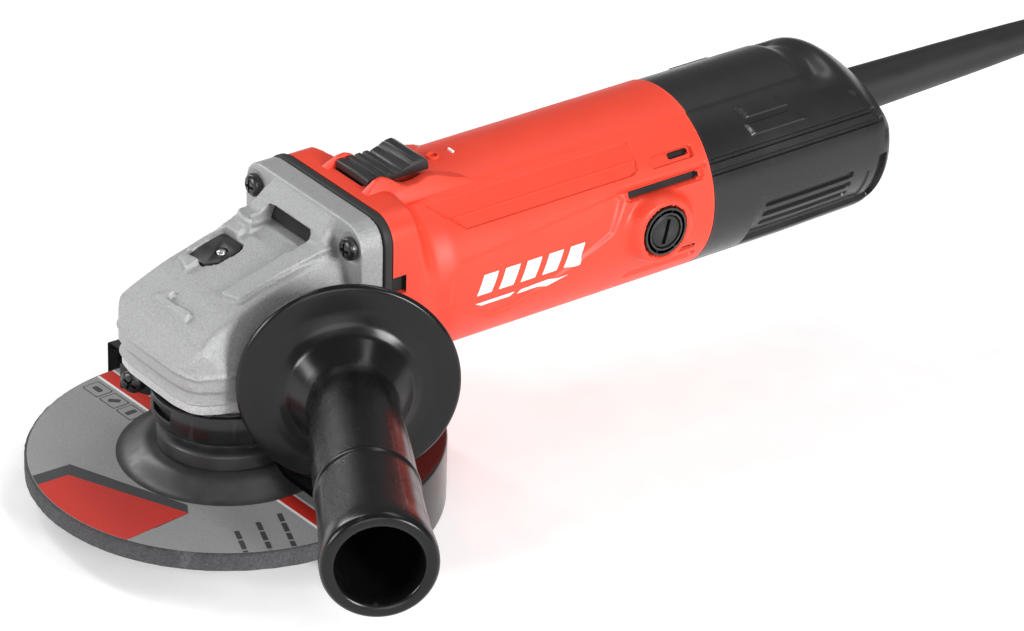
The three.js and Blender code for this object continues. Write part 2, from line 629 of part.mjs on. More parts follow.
// ---- fasteners ----
function panScrew(headR, headH, shank, length, recess = true) {
  const body = latheZ([
    [0, 0], [shank, 0], [shank, length], [headR, length], [headR, length + headH * 0.6],
    [headR * 0.7, length + headH], [0, length + headH],
  ], 8);
  if (!recess) return body;
  const deep = length + headH * 0.45;
  const w = headR * 0.62;
  const cross = join(box(-w, w, -0.4, 0.4, deep, 90), box(-0.4, 0.4, -w, w, deep, 90));
  return body.subtract(cross);
}

const flangeScrew = (sx, sz) => aim(
  panScrew(FLANGE_SCREW.headR, 2.8, 2, FLANGE_SCREW.tip - FLANGE_SCREW.headY - 3.2),
  [0, -1, 0],
  [sx * FLANGE_SCREW.x, FLANGE_SCREW.tip, AXIS_Z + sz * FLANGE_SCREW.dz],
);
const plateScrew = ([x, y]) => aim(panScrew(3.2, 2.1, 2, 12, false), [0, 0, -1], [x, y, 49.7]);
const coverScrew = () => aim(panScrew(3.2, 2, 1.7, 16), [0, 1, 0], [-16, 226.2, 42]);

// ---- cord, strain relief and plug ----
function cordGuard() {
  return turnedY([
    [0, 233.6], [11, 233.6], [11, 237.6], [7.9, 237.6], [7.9, 246], [7.5, 262], [6.5, 300],
    [5.2, 333.8], [4.6, 335], [0, 335],
  ], 16, COVER.cordZ);
}

const cordClamp = () => cut(
  box(-13, 13, 224.4, 230.4, 50, 53.6),
  cylZ(1.9, 45, 60, 8, 9.5, 227.4), cylZ(1.9, 45, 60, 8, -9.5, 227.4),
);
const clampScrew = (side) => panScrew(3, 1.9, 1.6, 9, false).rotate([180, 0, 0])
  .translate([side * 9.5, 227.4, 58.8]);

// Centre line from the end of the strain relief, level at first, down to the floor.
function cordRoute() {
  const r = CORD.bend;
  const drop = COVER.cordZ - (CORD.floor + CORD.d / 2);
  const turn = Math.acos(1 - drop / (2 * r));
  const start = 345;
  const points = [[0, 335 + GAP, COVER.cordZ], [0, 340, COVER.cordZ]];
  const steps = 9;
  for (let i = 0; i <= steps; i++) {
    const a = (turn * i) / steps;
    points.push([0, start + r * Math.sin(a), COVER.cordZ - r * (1 - Math.cos(a))]);
  }
  for (let i = steps - 1; i >= 0; i--) {
    const a = (turn * i) / steps;
    points.push([0, start + 2 * r * Math.sin(turn) - r * Math.sin(a),
      CORD.floor + CORD.d / 2 + r * (1 - Math.cos(a))]);
  }
  points.push([0, coilCentre[1] - tubeStop, CORD.floor + CORD.d / 2]);
  return points.map((p) => new THREE.Vector3(...p));
}

const coilOuter = CORD.coilR + CORD.d / 2;
const coilInner = CORD.coilR - (CORD.pitch * CORD.turns) / 2 - CORD.d / 2;
// How far before the coil's centre the straight run reaches the coil's outer face.
const tubeStop = Math.sqrt((coilOuter + GAP) ** 2 - (CORD.coilR - CORD.d / 2) ** 2) + 0.2;
const coilCentre = [CORD.coilR, 456];
const tailZ = CORD.floor + 9;

function tube(points, steps) {
  const section = new THREE.Shape();
  section.absarc(0, 0, CORD.d / 2, 0, 2 * Math.PI);
  return solid(new THREE.ExtrudeGeometry(section, {
    steps, curveSegments: 4, bevelEnabled: false,
    extrudePath: new THREE.CatmullRomCurve3(points, false, "centripetal"),
  }));
}

const cordTube = () => tube(cordRoute(), 24);

const cordCoil = () => latheZ(loop([
  [coilInner, CORD.floor], [coilOuter - 2, CORD.floor], [coilOuter, CORD.floor + 2],
  [coilOuter, CORD.floor + 2 * CORD.d - 2], [coilOuter - 2, CORD.floor + 2 * CORD.d],
  [coilInner, CORD.floor + 2 * CORD.d],
]), 28).translate([...coilCentre, 0]);

const PLUG = { x: 88, y: 516.8, half: 17.6, length: 40 };
function plugBody() {
  const { x, y, half, length } = PLUG;
  const outline = [[x, y - 6], [x + 8, y - 9], [x + 18, y - half], [x + length, y - half],
    [x + length, y + half], [x + 18, y + half], [x + 8, y + 9], [x, y + 6]];
  return prismZ(outline, CORD.floor, CORD.floor + 18);
}

const plugPin = (side) => aim(latheZ([[0, 0], [2.4, 0], [2.4, 17.5], [1.5, 19], [0, 19]], 10),
  [1, 0, 0], [PLUG.x + PLUG.length + GAP, PLUG.y + side * 9.5, tailZ]);

// ---- the assembly ----
const grinder = new THREE.Group();
function place(name, made, material) {
  const mesh = new THREE.Mesh(geometryOf(made), material);
  mesh.name = name;
  grinder.add(mesh);
}

place("grinding_wheel", grindingWheel(), MAT.abrasive());
place("inner_flange", innerFlange(), MAT.dark());
place("lock_nut", lockNut(), MAT.dark());
place("spindle", spindle(), MAT.steel());
place("bevel_gear", bevelGear(), MAT.steel());
place("spindle_bearing", ballBearing(SPINDLE.bearing + GAP, 17.5, 24.3, 35.3), MAT.steel());
place("spindle_top_bearing", latheZ(hollow(SPINDLE.top + GAP, 6.8, 54.5, 62), 24), MAT.steel());
place("bearing_box", bearingBox(), MAT.cast());
plateScrews.forEach((at, i) => place("bearing_box_screw_" + (i + 1), plateScrew(at), MAT.dark()));

place("wheel_guard", wheelGuard(), MAT.black());
place("guard_band", guardBand(), MAT.black());
place("guard_clamp_screw", guardScrew(), MAT.steel());

place("gear_housing", gearHousing(), MAT.cast());
place("shaft_lock_button", lockButton(), MAT.black());
place("shaft_lock_pin", lockPin(), MAT.steel());
[[-1, 1], [1, 1], [-1, -1], [1, -1]].forEach(([sx, sz], i) =>
  place("housing_screw_" + (i + 1), flangeScrew(sx, sz), MAT.dark()));

place("housing_gasket", gasket(), MAT.rubber());
place("motor_housing", motorHousing(), MAT.orange());
place("rear_cover", rearCover(), MAT.black());
place("rear_cover_screw", coverScrew(), MAT.dark());

place("armature_shaft", armatureShaft(), MAT.steel());
place("pinion", pinion(), MAT.steel());
place("front_bearing", aim(ballBearing(5 + GAP, 13, 26, 34), [0, 1, 0], [0, 0, AXIS_Z]), MAT.steel());
place("rear_bearing", aim(ballBearing(4 + GAP, 11, 158, 165), [0, 1, 0], [0, 0, AXIS_Z]), MAT.steel());
place("cooling_fan", coolingFan(), MAT.natural());
place("fan_baffle", baffle(), MAT.natural());
place("armature_core", armatureCore(), MAT.dark());
place("armature_winding", armatureWinding(), MAT.copper());
place("commutator", commutator(), MAT.copper());
place("stator_core", statorCore(), MAT.dark());
place("upper_field_coil", fieldCoil(false), MAT.copper());
place("lower_field_coil", fieldCoil(true), MAT.copper());

for (const [side, word] of [[1, "right"], [-1, "left"]]) {
  place(word + "_brush_holder", brushHolder(side), MAT.rubber());
  place(word + "_carbon_brush", carbonBrush(side), MAT.carbon());
  place(word + "_brush_spring", brushSpring(side), MAT.steel());
  place(word + "_brush_cap", brushCap(side), MAT.black());
}

place("switch_button", switchButton(), MAT.black());
place("switch_rod", switchRod(), MAT.black());
place("switch_body", switchBody(), MAT.natural());

place("side_grip", sideGrip(), MAT.black());
place("side_grip_stud", handleStud(), MAT.steel());

place("cord_guard", cordGuard(), MAT.rubber());
place("cord_clamp", cordClamp(), MAT.black());
[1, -1].forEach((side, i) => place("cord_clamp_screw_" + (i + 1), clampScrew(side), MAT.dark()));
place("cord_tube", cordTube(), MAT.rubber());
place("cord_coil", cordCoil(), MAT.rubber());
place("plug_body", plugBody(), MAT.rubber());
[1, -1].forEach((side, i) => place("plug_pin_" + (i + 1), plugPin(side), MAT.steel()));

export default grinder;
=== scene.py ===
"""Angle grinder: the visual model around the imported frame.

Shapes are worked out in millimetres in the row frame and turned into metres when a mesh is made.
"""

from math import acos, cos, dist, pi, radians, sin, tan, tau

import bmesh
import bpy
import numpy as np
from mathutils import Matrix, Vector


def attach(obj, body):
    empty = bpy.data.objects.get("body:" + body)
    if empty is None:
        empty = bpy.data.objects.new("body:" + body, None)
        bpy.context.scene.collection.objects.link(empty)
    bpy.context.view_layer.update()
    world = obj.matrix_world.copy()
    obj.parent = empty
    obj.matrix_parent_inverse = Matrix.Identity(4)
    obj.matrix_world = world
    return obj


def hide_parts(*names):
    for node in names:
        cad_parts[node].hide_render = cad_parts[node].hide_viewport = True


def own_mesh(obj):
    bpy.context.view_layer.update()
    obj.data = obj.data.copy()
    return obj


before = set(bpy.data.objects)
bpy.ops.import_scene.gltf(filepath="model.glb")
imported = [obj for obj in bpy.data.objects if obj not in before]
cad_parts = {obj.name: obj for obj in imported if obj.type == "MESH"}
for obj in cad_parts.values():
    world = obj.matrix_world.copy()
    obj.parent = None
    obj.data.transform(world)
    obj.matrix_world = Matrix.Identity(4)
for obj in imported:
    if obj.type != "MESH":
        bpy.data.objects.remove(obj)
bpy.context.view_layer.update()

MM = 0.001
UP, ALONG = (0, 0, 1), (0, 1, 0)
AXIS_Z = 56.5  # height of the motor axis
FLOOR_Z = -6.5  # lower edge of the guard
BARREL_R = 30.9  # the motor housing, without its bosses
HEAD_LOW, HEAD_TOP, HEAD_HALF = 24.5, 88.8, 31.0
HOUSING_Y = (39.8, 165.8)
COVER_Y = (166.1, 242.0)
BRUSH_Y = 143.6
CORD_Z = 63.5  # height of the cord where it leaves the cover
HANDLE_AT = Vector((46.0, 12.9, 49.3))  # middle of the flange's inner face
HANDLE_LEAN = radians(30.3)
HANDLE_DIR = Vector((cos(HANDLE_LEAN), -sin(HANDLE_LEAN), 0.0))
HANDLE_LENGTH = 107.0
SIDES = (("right", 1), ("left", -1))
SCREW_X, SCREW_Z = 25.4, 24.6  # the head's flange screws, from the motor axis


# ---- camera, light and floor
def camera():
    """The photograph's view: a long lens from the front right, above the tool."""
    azimuth, elevation, roll = (radians(a) for a in (52.447, 28.604, 1.673))
    back = Vector((sin(azimuth) * cos(elevation), -cos(azimuth) * cos(elevation), sin(elevation)))
    level = Vector((cos(azimuth), sin(azimuth), 0.0))
    upright = back.cross(level)
    right = cos(roll) * level + sin(roll) * upright
    up = cos(roll) * upright - sin(roll) * level
    data = bpy.data.cameras.new("camera")
    data.sensor_width = 36.0
    data.lens = 175.78
    data.clip_end = 20.0
    obj = placed("camera", data)
    place = Matrix((right, up, back)).transposed().to_4x4()
    place.translation = Vector((1.11126, -0.74492, 0.78592))
    obj.matrix_world = place
    bpy.context.scene.camera = obj


def placed(name, data):
    """An object of some data, linked to the scene."""
    obj = bpy.data.objects.new(name, data)
    bpy.context.scene.collection.objects.link(obj)
    return obj


def area_light(name, at, target, size, watts):
    data = bpy.data.lights.new(name, "AREA")
    data.shape = "RECTANGLE"
    data.size, data.size_y = size
    data.energy = watts
    obj = placed(name, data)
    obj.location = at
    obj.rotation_euler = (Vector(target) - Vector(at)).to_track_quat("-Z", "Y").to_euler()


def sun(name, direction, strength, spread):
    data = bpy.data.lights.new(name, "SUN")
    data.energy = strength
    data.angle = radians(spread)
    placed(name, data).rotation_euler = Vector(direction).to_track_quat("Z", "Y").to_euler()


def studio():
    world = bpy.data.worlds.new("studio")
    world.use_nodes = True
    sky = world.node_tree.nodes["Background"]
    sky.inputs["Color"].default_value = (1, 1, 1, 1)
    sky.inputs["Strength"].default_value = 0.22
    bpy.context.scene.world = world
    sun("key", (1.0, 0.15, 0.36), 2.8, 20)
    sun("front", (-0.35, -1.0, 0.32), 1.5, 20)
    sun("fill", (0.7, -0.54, 0.3), 0.9, 35)
    sun("over", (-0.2, 0.5, 1.0), 0.1, 50)
    middle = (0.02, 0.08, 0.05)
    area_light("strip_left", (-0.9, -0.1, 0.7), middle, (0.16, 0.9), 5.0)
    area_light("strip_top", (0.1, 0.5, 1.1), middle, (0.9, 0.2), 2.5)
    bpy.context.scene.view_settings.view_transform = "Standard"
    mesh = bpy.data.meshes.new("floor")
    reach = 6.0
    corners = [(-reach, -reach), (reach, -reach), (reach, reach), (-reach, reach)]
    mesh.from_pydata([(x, y, FLOOR_Z * MM) for x, y in corners], [], [(0, 1, 2, 3)])
    paper = surface("floor_paper", (0.93, 0.93, 0.93), 0.85, grain=(2.0, 0.02))
    glow = paper.node_tree.nodes["Principled BSDF"]
    glow.inputs["Emission Color"].default_value = (1, 1, 1, 1)
    glow.inputs["Emission Strength"].default_value = 0.25
    mesh.materials.append(paper)
    placed("floor", mesh)


# ---- materials
def surface(name, colour, rough, metallic=0.0, grain=(0.6, 0.05), tint=0.06, spread=0.06,
        blotch=9.0, edge=None, mask=None, specular=None):
    """A procedural finish: broad colour and gloss variation, fine grain, optional edges lightened
    partly as wear and partly as a painted highlight.

    grain is (size in mm, depth in mm), blotch the size in mm of the broad variation, tint and
    spread its strength in colour and gloss. edge is the colour that convex edges turn to, partly
    as wear and partly as a painted highlight where the edges catch the light.
    mask names a point attribute that scales the grain from 0, smooth, to 1.
    """
    mat = bpy.data.materials.new(name)
    mat.use_nodes = True
    nodes, link = mat.node_tree.nodes, mat.node_tree.links.new
    shader = nodes["Principled BSDF"]

    def feed(node, inputs):
        for key, value in inputs.items():
            if isinstance(value, bpy.types.NodeSocket):
                link(value, node.inputs[key])
            else:
                node.inputs[key].default_value = value

    def add(kind, inputs, output=0, **settings):
        node = nodes.new("ShaderNode" + kind)
        for key, value in settings.items():
            setattr(node, key, value)
        feed(node, inputs)
        return node.outputs[output]

    def noise(size_mm, detail, roughness=0.55):
        return add("TexNoise", {"Scale": 1.0 / (size_mm * MM), "Detail": detail,
            "Roughness": roughness, "Vector": place}, "Fac")

    place = add("TexCoord", {}, "Object")
    broad = noise(blotch, 3)
    fine = noise(grain[0], 2, 0.6)
    both = add("Math", {0: fine, 1: 0.6, 2: broad}, operation="MULTIPLY_ADD")
    shift = add("Math", {0: both, 1: 0.3}, operation="SUBTRACT", use_clamp=True)
    out = add("Mix", {"A": (*[c * (1 - tint) for c in colour], 1), "Factor": shift,
        "B": (*[min(1, c * (1 + tint)) for c in colour], 1)}, "Result", data_type="RGBA")
    # Convex edges turn towards the edge colour: partly wear, partly a painted highlight where edges
    # catch the light.
    if edge:
        convex = add("NewGeometry", {}, "Pointiness")
        worn_and_lit = add("MapRange", {"From Min": 0.52, "From Max": 0.6, "To Max": 0.7, "Value": convex},
            "Result")
        wear_and_highlight = add("Math", {0: worn_and_lit, 1: broad}, operation="MULTIPLY")
        out = add("Mix", {"Factor": wear_and_highlight, "A": out, "B": (*edge, 1)}, "Result", data_type="RGBA")
    gloss = add("MapRange", {"From Min": 0.3, "From Max": 0.7, "To Min": max(0.02, rough - spread),
        "To Max": min(1.0, rough + spread), "Value": broad}, "Result")
    height = fine
    if mask:
        where = add("Attribute", {}, "Fac", attribute_name=mask)
        height = add("Math", {0: fine, 1: where}, operation="MULTIPLY")
    bump = add("Bump", {"Strength": 1.0, "Distance": grain[1] * MM, "Height": height}, "Normal")
    feed(shader, {"Metallic": metallic, "Base Color": out, "Roughness": gloss, "Normal": bump})
    if specular is not None:
        shader.inputs["Specular IOR Level"].default_value = specular
    return mat


# Every finish on the tool, by name. An edge colour is partly wear and partly a painted highlight.
FINISH = dict(
    cast=surface("cast_aluminium", (0.35, 0.352, 0.355), 0.42, 0.35, (0.34, 0.2), 0.36, 0.07, 0.7,
        edge=(0.8, 0.8, 0.81)),
    orange=surface("orange_moulding", (0.74, 0.054, 0.026), 0.42, 0, (0.3, 0.012), 0.04, 0.05, 14,
        edge=(0.95, 0.12, 0.07), specular=0.35),
    # Painted shade: the dark bottoms of the housing's vent holes and the plate behind the exhaust
    # window.
    vent=surface("vent_shadow", (0.012, 0.011, 0.011), 0.8, 0, (0.6, 0.02)),
    cover=surface("black_moulding", (0.013, 0.013, 0.0135), 0.28, 0, (0.3, 0.008), 0.1, 0.05, 16,
        edge=(0.05, 0.05, 0.05), specular=0.45),
    switch=surface("switch_moulding", (0.009, 0.009, 0.0095), 0.36, 0, (0.3, 0.012), 0.2,
        edge=(0.08, 0.08, 0.08), specular=0.42),
    grip=surface("grained_grip", (0.005, 0.005, 0.0055), 0.25, 0, (0.55, 0.2), 0.15, 0.05, 9,
        mask="grained", edge=(0.04, 0.04, 0.04), specular=0.32),
    guard=surface("gloss_black_paint", (0.007, 0.007, 0.0075), 0.22, 0, (0.9, 0.01), 0.15, 0.06,
        18, edge=(0.06, 0.06, 0.06), specular=0.4),
    flange=surface("dark_flange", (0.06, 0.06, 0.062), 0.45, 0.6, (0.35, 0.012), 0.2, 0.1, 5,
        edge=(0.2, 0.2, 0.2)),
    steel=surface("ground_steel", (0.56, 0.55, 0.54), 0.28, 1, (0.25, 0.008), 0.08, 0.1, 3),
    gear=surface("gear_steel", (0.3, 0.29, 0.28), 0.38, 1, (0.3, 0.012), 0.15, 0.1, 3,
        edge=(0.6, 0.59, 0.57)),
    screw=surface("black_screw", (0.05, 0.05, 0.052), 0.3, 0.85, (0.2, 0.01), 0.2, 0.1, 2,
        edge=(0.35, 0.35, 0.35)),
    gasket=surface("gasket_rubber", (0.012, 0.012, 0.012), 0.6, 0, (0.3, 0.015), 0.2),
    rubber=surface("cord_rubber", (0.009, 0.009, 0.0095), 0.52, 0, (0.4, 0.02), 0.2, 0.08, 8),
    copper=surface("enamelled_copper", (0.62, 0.24, 0.1), 0.32, 0.9, (0.5, 0.05), 0.2),
    iron=surface("laminated_iron", (0.16, 0.16, 0.17), 0.45, 0.9, (0.3, 0.03), 0.15),
    carbon=surface("carbon", (0.03, 0.03, 0.032), 0.7, 0.1, (0.3, 0.03), 0.25),
    nylon=surface("natural_nylon", (0.68, 0.64, 0.54), 0.5, 0, (0.5, 0.01), 0.05),
    nickel=surface("nickel", (0.62, 0.58, 0.5), 0.22, 1, (0.3, 0.006), 0.06, 0.08, 3),
    grit=surface("bonded_grit", (0.028, 0.028, 0.03), 0.9, 0, (0.6, 0.5), 0.9, 0.05, 0.8,
        edge=(0.22, 0.22, 0.23)),
    paper=surface("label_paper", (0.3, 0.3, 0.302), 0.6, 0, (0.32, 0.05), 0.4, 0.06, 0.45),
    hub=surface("hub_resin", (0.052, 0.052, 0.053), 0.42, 0, (0.5, 0.03), 0.3, 0.08, 5),
    red_print=surface("red_print", (0.6, 0.03, 0.018), 0.5, 0, (0.3, 0.03), 0.25, 0.06, 0.8),
    grey_print=surface("grey_print", (0.055, 0.056, 0.06), 0.5, 0, (0.3, 0.02), 0.15),
    white_print=surface("white_print", (0.85, 0.85, 0.85), 0.5, 0, (0.3, 0.02), 0.04),
)


# ---- mesh helpers
def piece(name, verts, faces, looks, replaces=None, sharp=35.0, body="housing"):
    """A mesh object from points in mm, riding on a body."""
    mesh = bpy.data.meshes.new(name)
    mesh.from_pydata([tuple(c * MM for c in v) for v in verts], [], [tuple(f) for f in faces])
    mesh.validate()
    return adopt(name, mesh, looks, replaces, sharp, body)


def outward(mesh):
    """Turns every face of a mesh outward."""
    bm = bmesh.new()
    bm.from_mesh(mesh)
    bmesh.ops.recalc_face_normals(bm, faces=bm.faces)
    bm.to_mesh(mesh)
    bm.free()


def adopt(name, mesh, looks, replaces=None, sharp=35.0, body="housing"):
    """Makes a piece of a finished mesh in metres. looks is a finish's name, or a list of them."""
    outward(mesh)
    mesh.shade_smooth()
    mesh.set_sharp_from_angle(angle=radians(sharp))
    for look in [looks] if isinstance(looks, str) else looks:
        mesh.materials.append(FINISH[look])
    obj = placed(name, mesh)
    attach(obj, body)
    if replaces:
        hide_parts(replaces)
    return obj


def grid_faces(rows, cols, wrap_rows=False):
    """Quads of a grid whose columns close on themselves."""
    faces = []
    for i in range(rows if wrap_rows else rows - 1):
        a, b = i * cols, ((i + 1) % rows) * cols
        for j in range(cols):
            k = (j + 1) % cols
            faces.append((a + j, a + k, b + k, b + j))
    return faces


def lathe(profile, segments=96, closed=False):
    """Points and faces of a solid of revolution about Z, from [radius, height] pairs in mm.

    An open profile starts and ends on the axis.
    """
    inner = profile if closed else profile[1:-1]
    angles = [2 * pi * j / segments for j in range(segments)]
    verts = [(r * cos(a), r * sin(a), z) for r, z in inner for a in angles]
    faces = grid_faces(len(inner), segments, wrap_rows=closed)
    if not closed:
        for end, ring in ((profile[0], 0), (profile[-1], (len(inner) - 1) * segments)):
            verts.append((0.0, 0.0, end[1]))
            for j in range(segments):
                k = (j + 1) % segments
                faces.append((len(verts) - 1, ring + j, ring + k))
    return verts, faces


def arc(start, corner, end, steps):
    """Points of a short arc that starts and ends on a corner's two sides."""
    return [tuple((1 - t) ** 2 * start + 2 * t * (1 - t) * corner + t * t * end)
        for t in (i / steps for i in range(steps + 1))]


def softened(profile, radius=0.5, steps=4):
    """The profile with each corner turned into a short arc, so that edges catch the light."""
    out = [profile[0]]
    for before, at, after in zip(profile, profile[1:], profile[2:]):
        q = Vector(at)
        u, v = Vector(before) - q, Vector(after) - q
        reach = min(radius, u.length * 0.45, v.length * 0.45)
        if reach < 0.02 or u.angle(v, pi) > radians(172):
            out.append(at)
        else:
            out += arc(q + u.normalized() * reach, q, q + v.normalized() * reach, steps)
    return out + [profile[-1]]


def softened_loop(profile, radius=0.5, steps=4):
    """The same for a closed profile."""
    wrapped = [profile[-1], *profile, profile[0]]
    return softened(wrapped, radius, steps)[1:-1]


def aimed(verts, direction, at):
    """Turns points made about Z so that Z points along a direction from a place in mm."""
    turn = Vector(UP).rotation_difference(Vector(direction))
    return [tuple(turn @ Vector(v) + Vector(at)) for v in verts]


def turned(name, profile, looks, replaces=None, direction=UP, at=(0, 0, 0), soft=0.4, segments=96,
        closed=False, body="housing"):
    round_off = softened_loop if closed else softened
    verts, faces = lathe(round_off(profile, soft), segments, closed)
    return piece(name, aimed(verts, direction, at), faces, looks, replaces, body=body)


def solid(verts, faces):
    """A bare mesh object in mm, for joining and cutting."""
    mesh = bpy.data.meshes.new("solid")
    mesh.from_pydata([tuple(v) for v in verts], [], [tuple(f) for f in faces])
    outward(mesh)
    return placed("solid", mesh)


def prism(outline, axis, low, high):
    """An outline pushed along X (points are y, z), Y (x, z) or Z (x, y)."""
    order = dict(X=(2, 0, 1), Y=(0, 2, 1), Z=(0, 1, 2))[axis]
    n = len(outline)
    verts = [[(a, b, c)[k] for k in order] for c in (low, high) for a, b in outline]
    faces = [tuple(range(n))[::-1], tuple(range(n, 2 * n))]
    faces += [(i, (i + 1) % n, n + (i + 1) % n, n + i) for i in range(n)]
    return solid(verts, faces)


def block(x0, x1, y0, y1, z0, z1):
    return prism([(x0, y0), (x1, y0), (x1, y1), (x0, y1)], "Z", z0, z1)


def rod(radius, direction, start, length, segments=32, tip=None):
    """A cylinder, or a cone when a tip radius is given."""
    end = radius if tip is None else tip
    verts, faces = lathe([(0, 0), (radius, 0), (end, length), (0, length)], segments)
    return solid(aimed(verts, direction, start), faces)


def baked(obj, remove=True):
    """The object's mesh with its modifiers applied."""
    graph = bpy.context.evaluated_depsgraph_get()
    mesh = bpy.data.meshes.new_from_object(obj.evaluated_get(graph))
    if remove:
        bpy.data.objects.remove(obj)
    return mesh


def in_metres(obj):
    mesh = baked(obj)
    mesh.transform(Matrix.Scale(MM, 4))
    return mesh


def stand(obj, direction, at):
    """Turns a bare mesh made about Z to a direction, and moves it to a place in mm."""
    turn = Vector(UP).rotation_difference(Vector(direction))
    obj.data.transform(turn.to_matrix().to_4x4())
    obj.data.transform(Matrix.Translation(at))


def combine(base, others, operation):
    """Boolean of a base with each of the others, which are used up."""
    for other in others:
        mod = base.modifiers.new("cut", "BOOLEAN")
        mod.operation = operation
        mod.solver = "EXACT"
        mod.object = other
    mesh = baked(base, remove=False)
    for other in others:
        bpy.data.objects.remove(other)
    base.modifiers.clear()
    base.data = mesh
    return base


def cut(base, *others):
    return combine(base, others, "DIFFERENCE")


def cast_skin(obj, voxel, passes):
    """Adds modifiers that round a solid's edges and corners as a casting's are."""
    mod = obj.modifiers.new("skin", "REMESH")
    mod.mode = "VOXEL"
    mod.voxel_size = voxel
    ease = obj.modifiers.new("ease", "SMOOTH")
    ease.factor = 0.5
    ease.iterations = passes
    return obj


def bevelled(obj, width, segments=2, angle=30.0):
    """Bevels a solid's sharp edges, and gives its mesh in metres."""
    mod = obj.modifiers.new("bevel", "BEVEL")
    mod.width = width
    mod.segments = segments
    mod.limit_method = "ANGLE"
    mod.angle_limit = radians(angle)
    return in_metres(obj)


def filleted(points, steps=6):
    """A closed outline from (a, b, corner radius) triples, with its corners rounded."""
    out = []
    for i, (a, b, radius) in enumerate(points):
        if radius <= 0:
            out.append((a, b))
            continue
        q = Vector((a, b))
        u = Vector(points[i - 1][:2]) - q
        v = Vector(points[(i + 1) % len(points)][:2]) - q
        reach = min(radius / tan(u.angle(v) / 2), u.length * 0.48, v.length * 0.48)
        out += arc(q + u.normalized() * reach, q, q + v.normalized() * reach, steps)
    return out


def both_sides(points):
    """A right-hand outline and its mirror image, as one closed outline."""
    return points + [(-p[0], *p[1:]) for p in reversed(points)]


# ---- the barrel: its radius is a function of y and of the angle about the motor axis
def ramp(x, a, b):
    t = np.clip((x - a) / (b - a), 0, 1)
    return t * t * (3 - 2 * t)


def arc_mm(degrees):
    return degrees * pi / 180 * BARREL_R


def slot_mask(y, t, y0, y1, t0, t1, corner, soft):
    """1 inside a round-cornered patch of the barrel, 0 outside, with a soft edge. t in degrees."""
    u = np.abs(y - (y0 + y1) / 2) - (y1 - y0) / 2 + corner
    v = np.abs(arc_mm(t - (t0 + t1) / 2)) - arc_mm(abs(t1 - t0)) / 2 + corner
    outside = np.hypot(np.maximum(u, 0), np.maximum(v, 0)) + np.minimum(np.maximum(u, v),
        0) - corner
    return 1 - ramp(outside, -soft / 2, soft / 2)


def panel_mask(y, t, corners, soft):
    """The same for a convex panel given by its (y, degrees) corners, clockwise or not."""
    points = [Vector((a, arc_mm(b))) for a, b in corners]
    centre = sum(points, Vector((0, 0))) / len(points)
    worst = np.full(np.shape(y), -1e9)
    for p, q in zip(points, points[1:] + points[:1]):
        normal = Vector((q.y - p.y, p.x - q.x)).normalized()
        if normal.dot(centre - p) > 0:
            normal = -normal
        worst = np.maximum(worst, (y - p.x) * normal.x + (arc_mm(t) - p.y) * normal.y)
    return 1 - ramp(worst, -soft / 2, soft / 2)


def grid_lines(low, high, step, marks, fine, reach):
    """Evenly spaced lines with more of them around each mark."""
    values = list(np.linspace(low, high, int(round((high - low) / step)) + 1))
    for mark in marks:
        values += list(np.arange(mark - reach, mark + reach + fine / 2, fine))
    values = sorted(v for v in values if low <= v <= high)
    kept = [values[0]]
    for v in values[1:]:
        if v - kept[-1] > fine * 0.7:
            kept.append(v)
    kept[-1] = high
    return np.array(kept)


def squircle_radius(t, half, top, low, corner):
    """Distance from the motor axis to a rounded rectangle along each angle, by bisection."""
    c, s = np.cos(np.radians(t)), np.sin(np.radians(t))
    mid, tall = (top + low) / 2, (top - low) / 2
    near, far = np.full(np.shape(t * half), 10.0), np.full(np.shape(t * half), 60.0)
    for _ in range(26):
        r = (near + far) / 2
        u = np.abs(r * c) - half + corner
        v = np.abs(AXIS_Z + r * s - mid) - tall + corner
        d = np.hypot(np.maximum(u, 0), np.maximum(v, 0)) + np.minimum(np.maximum(u, v), 0) - corner
        near, far = np.where(d < 0, r, near), np.where(d < 0, far, r)
    return (near + far) / 2


def folded(t):
    """Angles of the left side as those of the right, so that one rule makes both sides."""
    return np.where(np.cos(np.radians(t)) >= 0, (t + 180) % 360 - 180, 180 - (t % 360))


def upper_band(y, t, y0, y1):
    """The proud band along the top, with a chamfer down to the sides."""
    side = np.abs(t - 90)
    return (1 - ramp(side, 25.0, 28.6)) * ramp(y, y0, y0 + 7) * (1 - ramp(y, y1, y1 + 2.5))


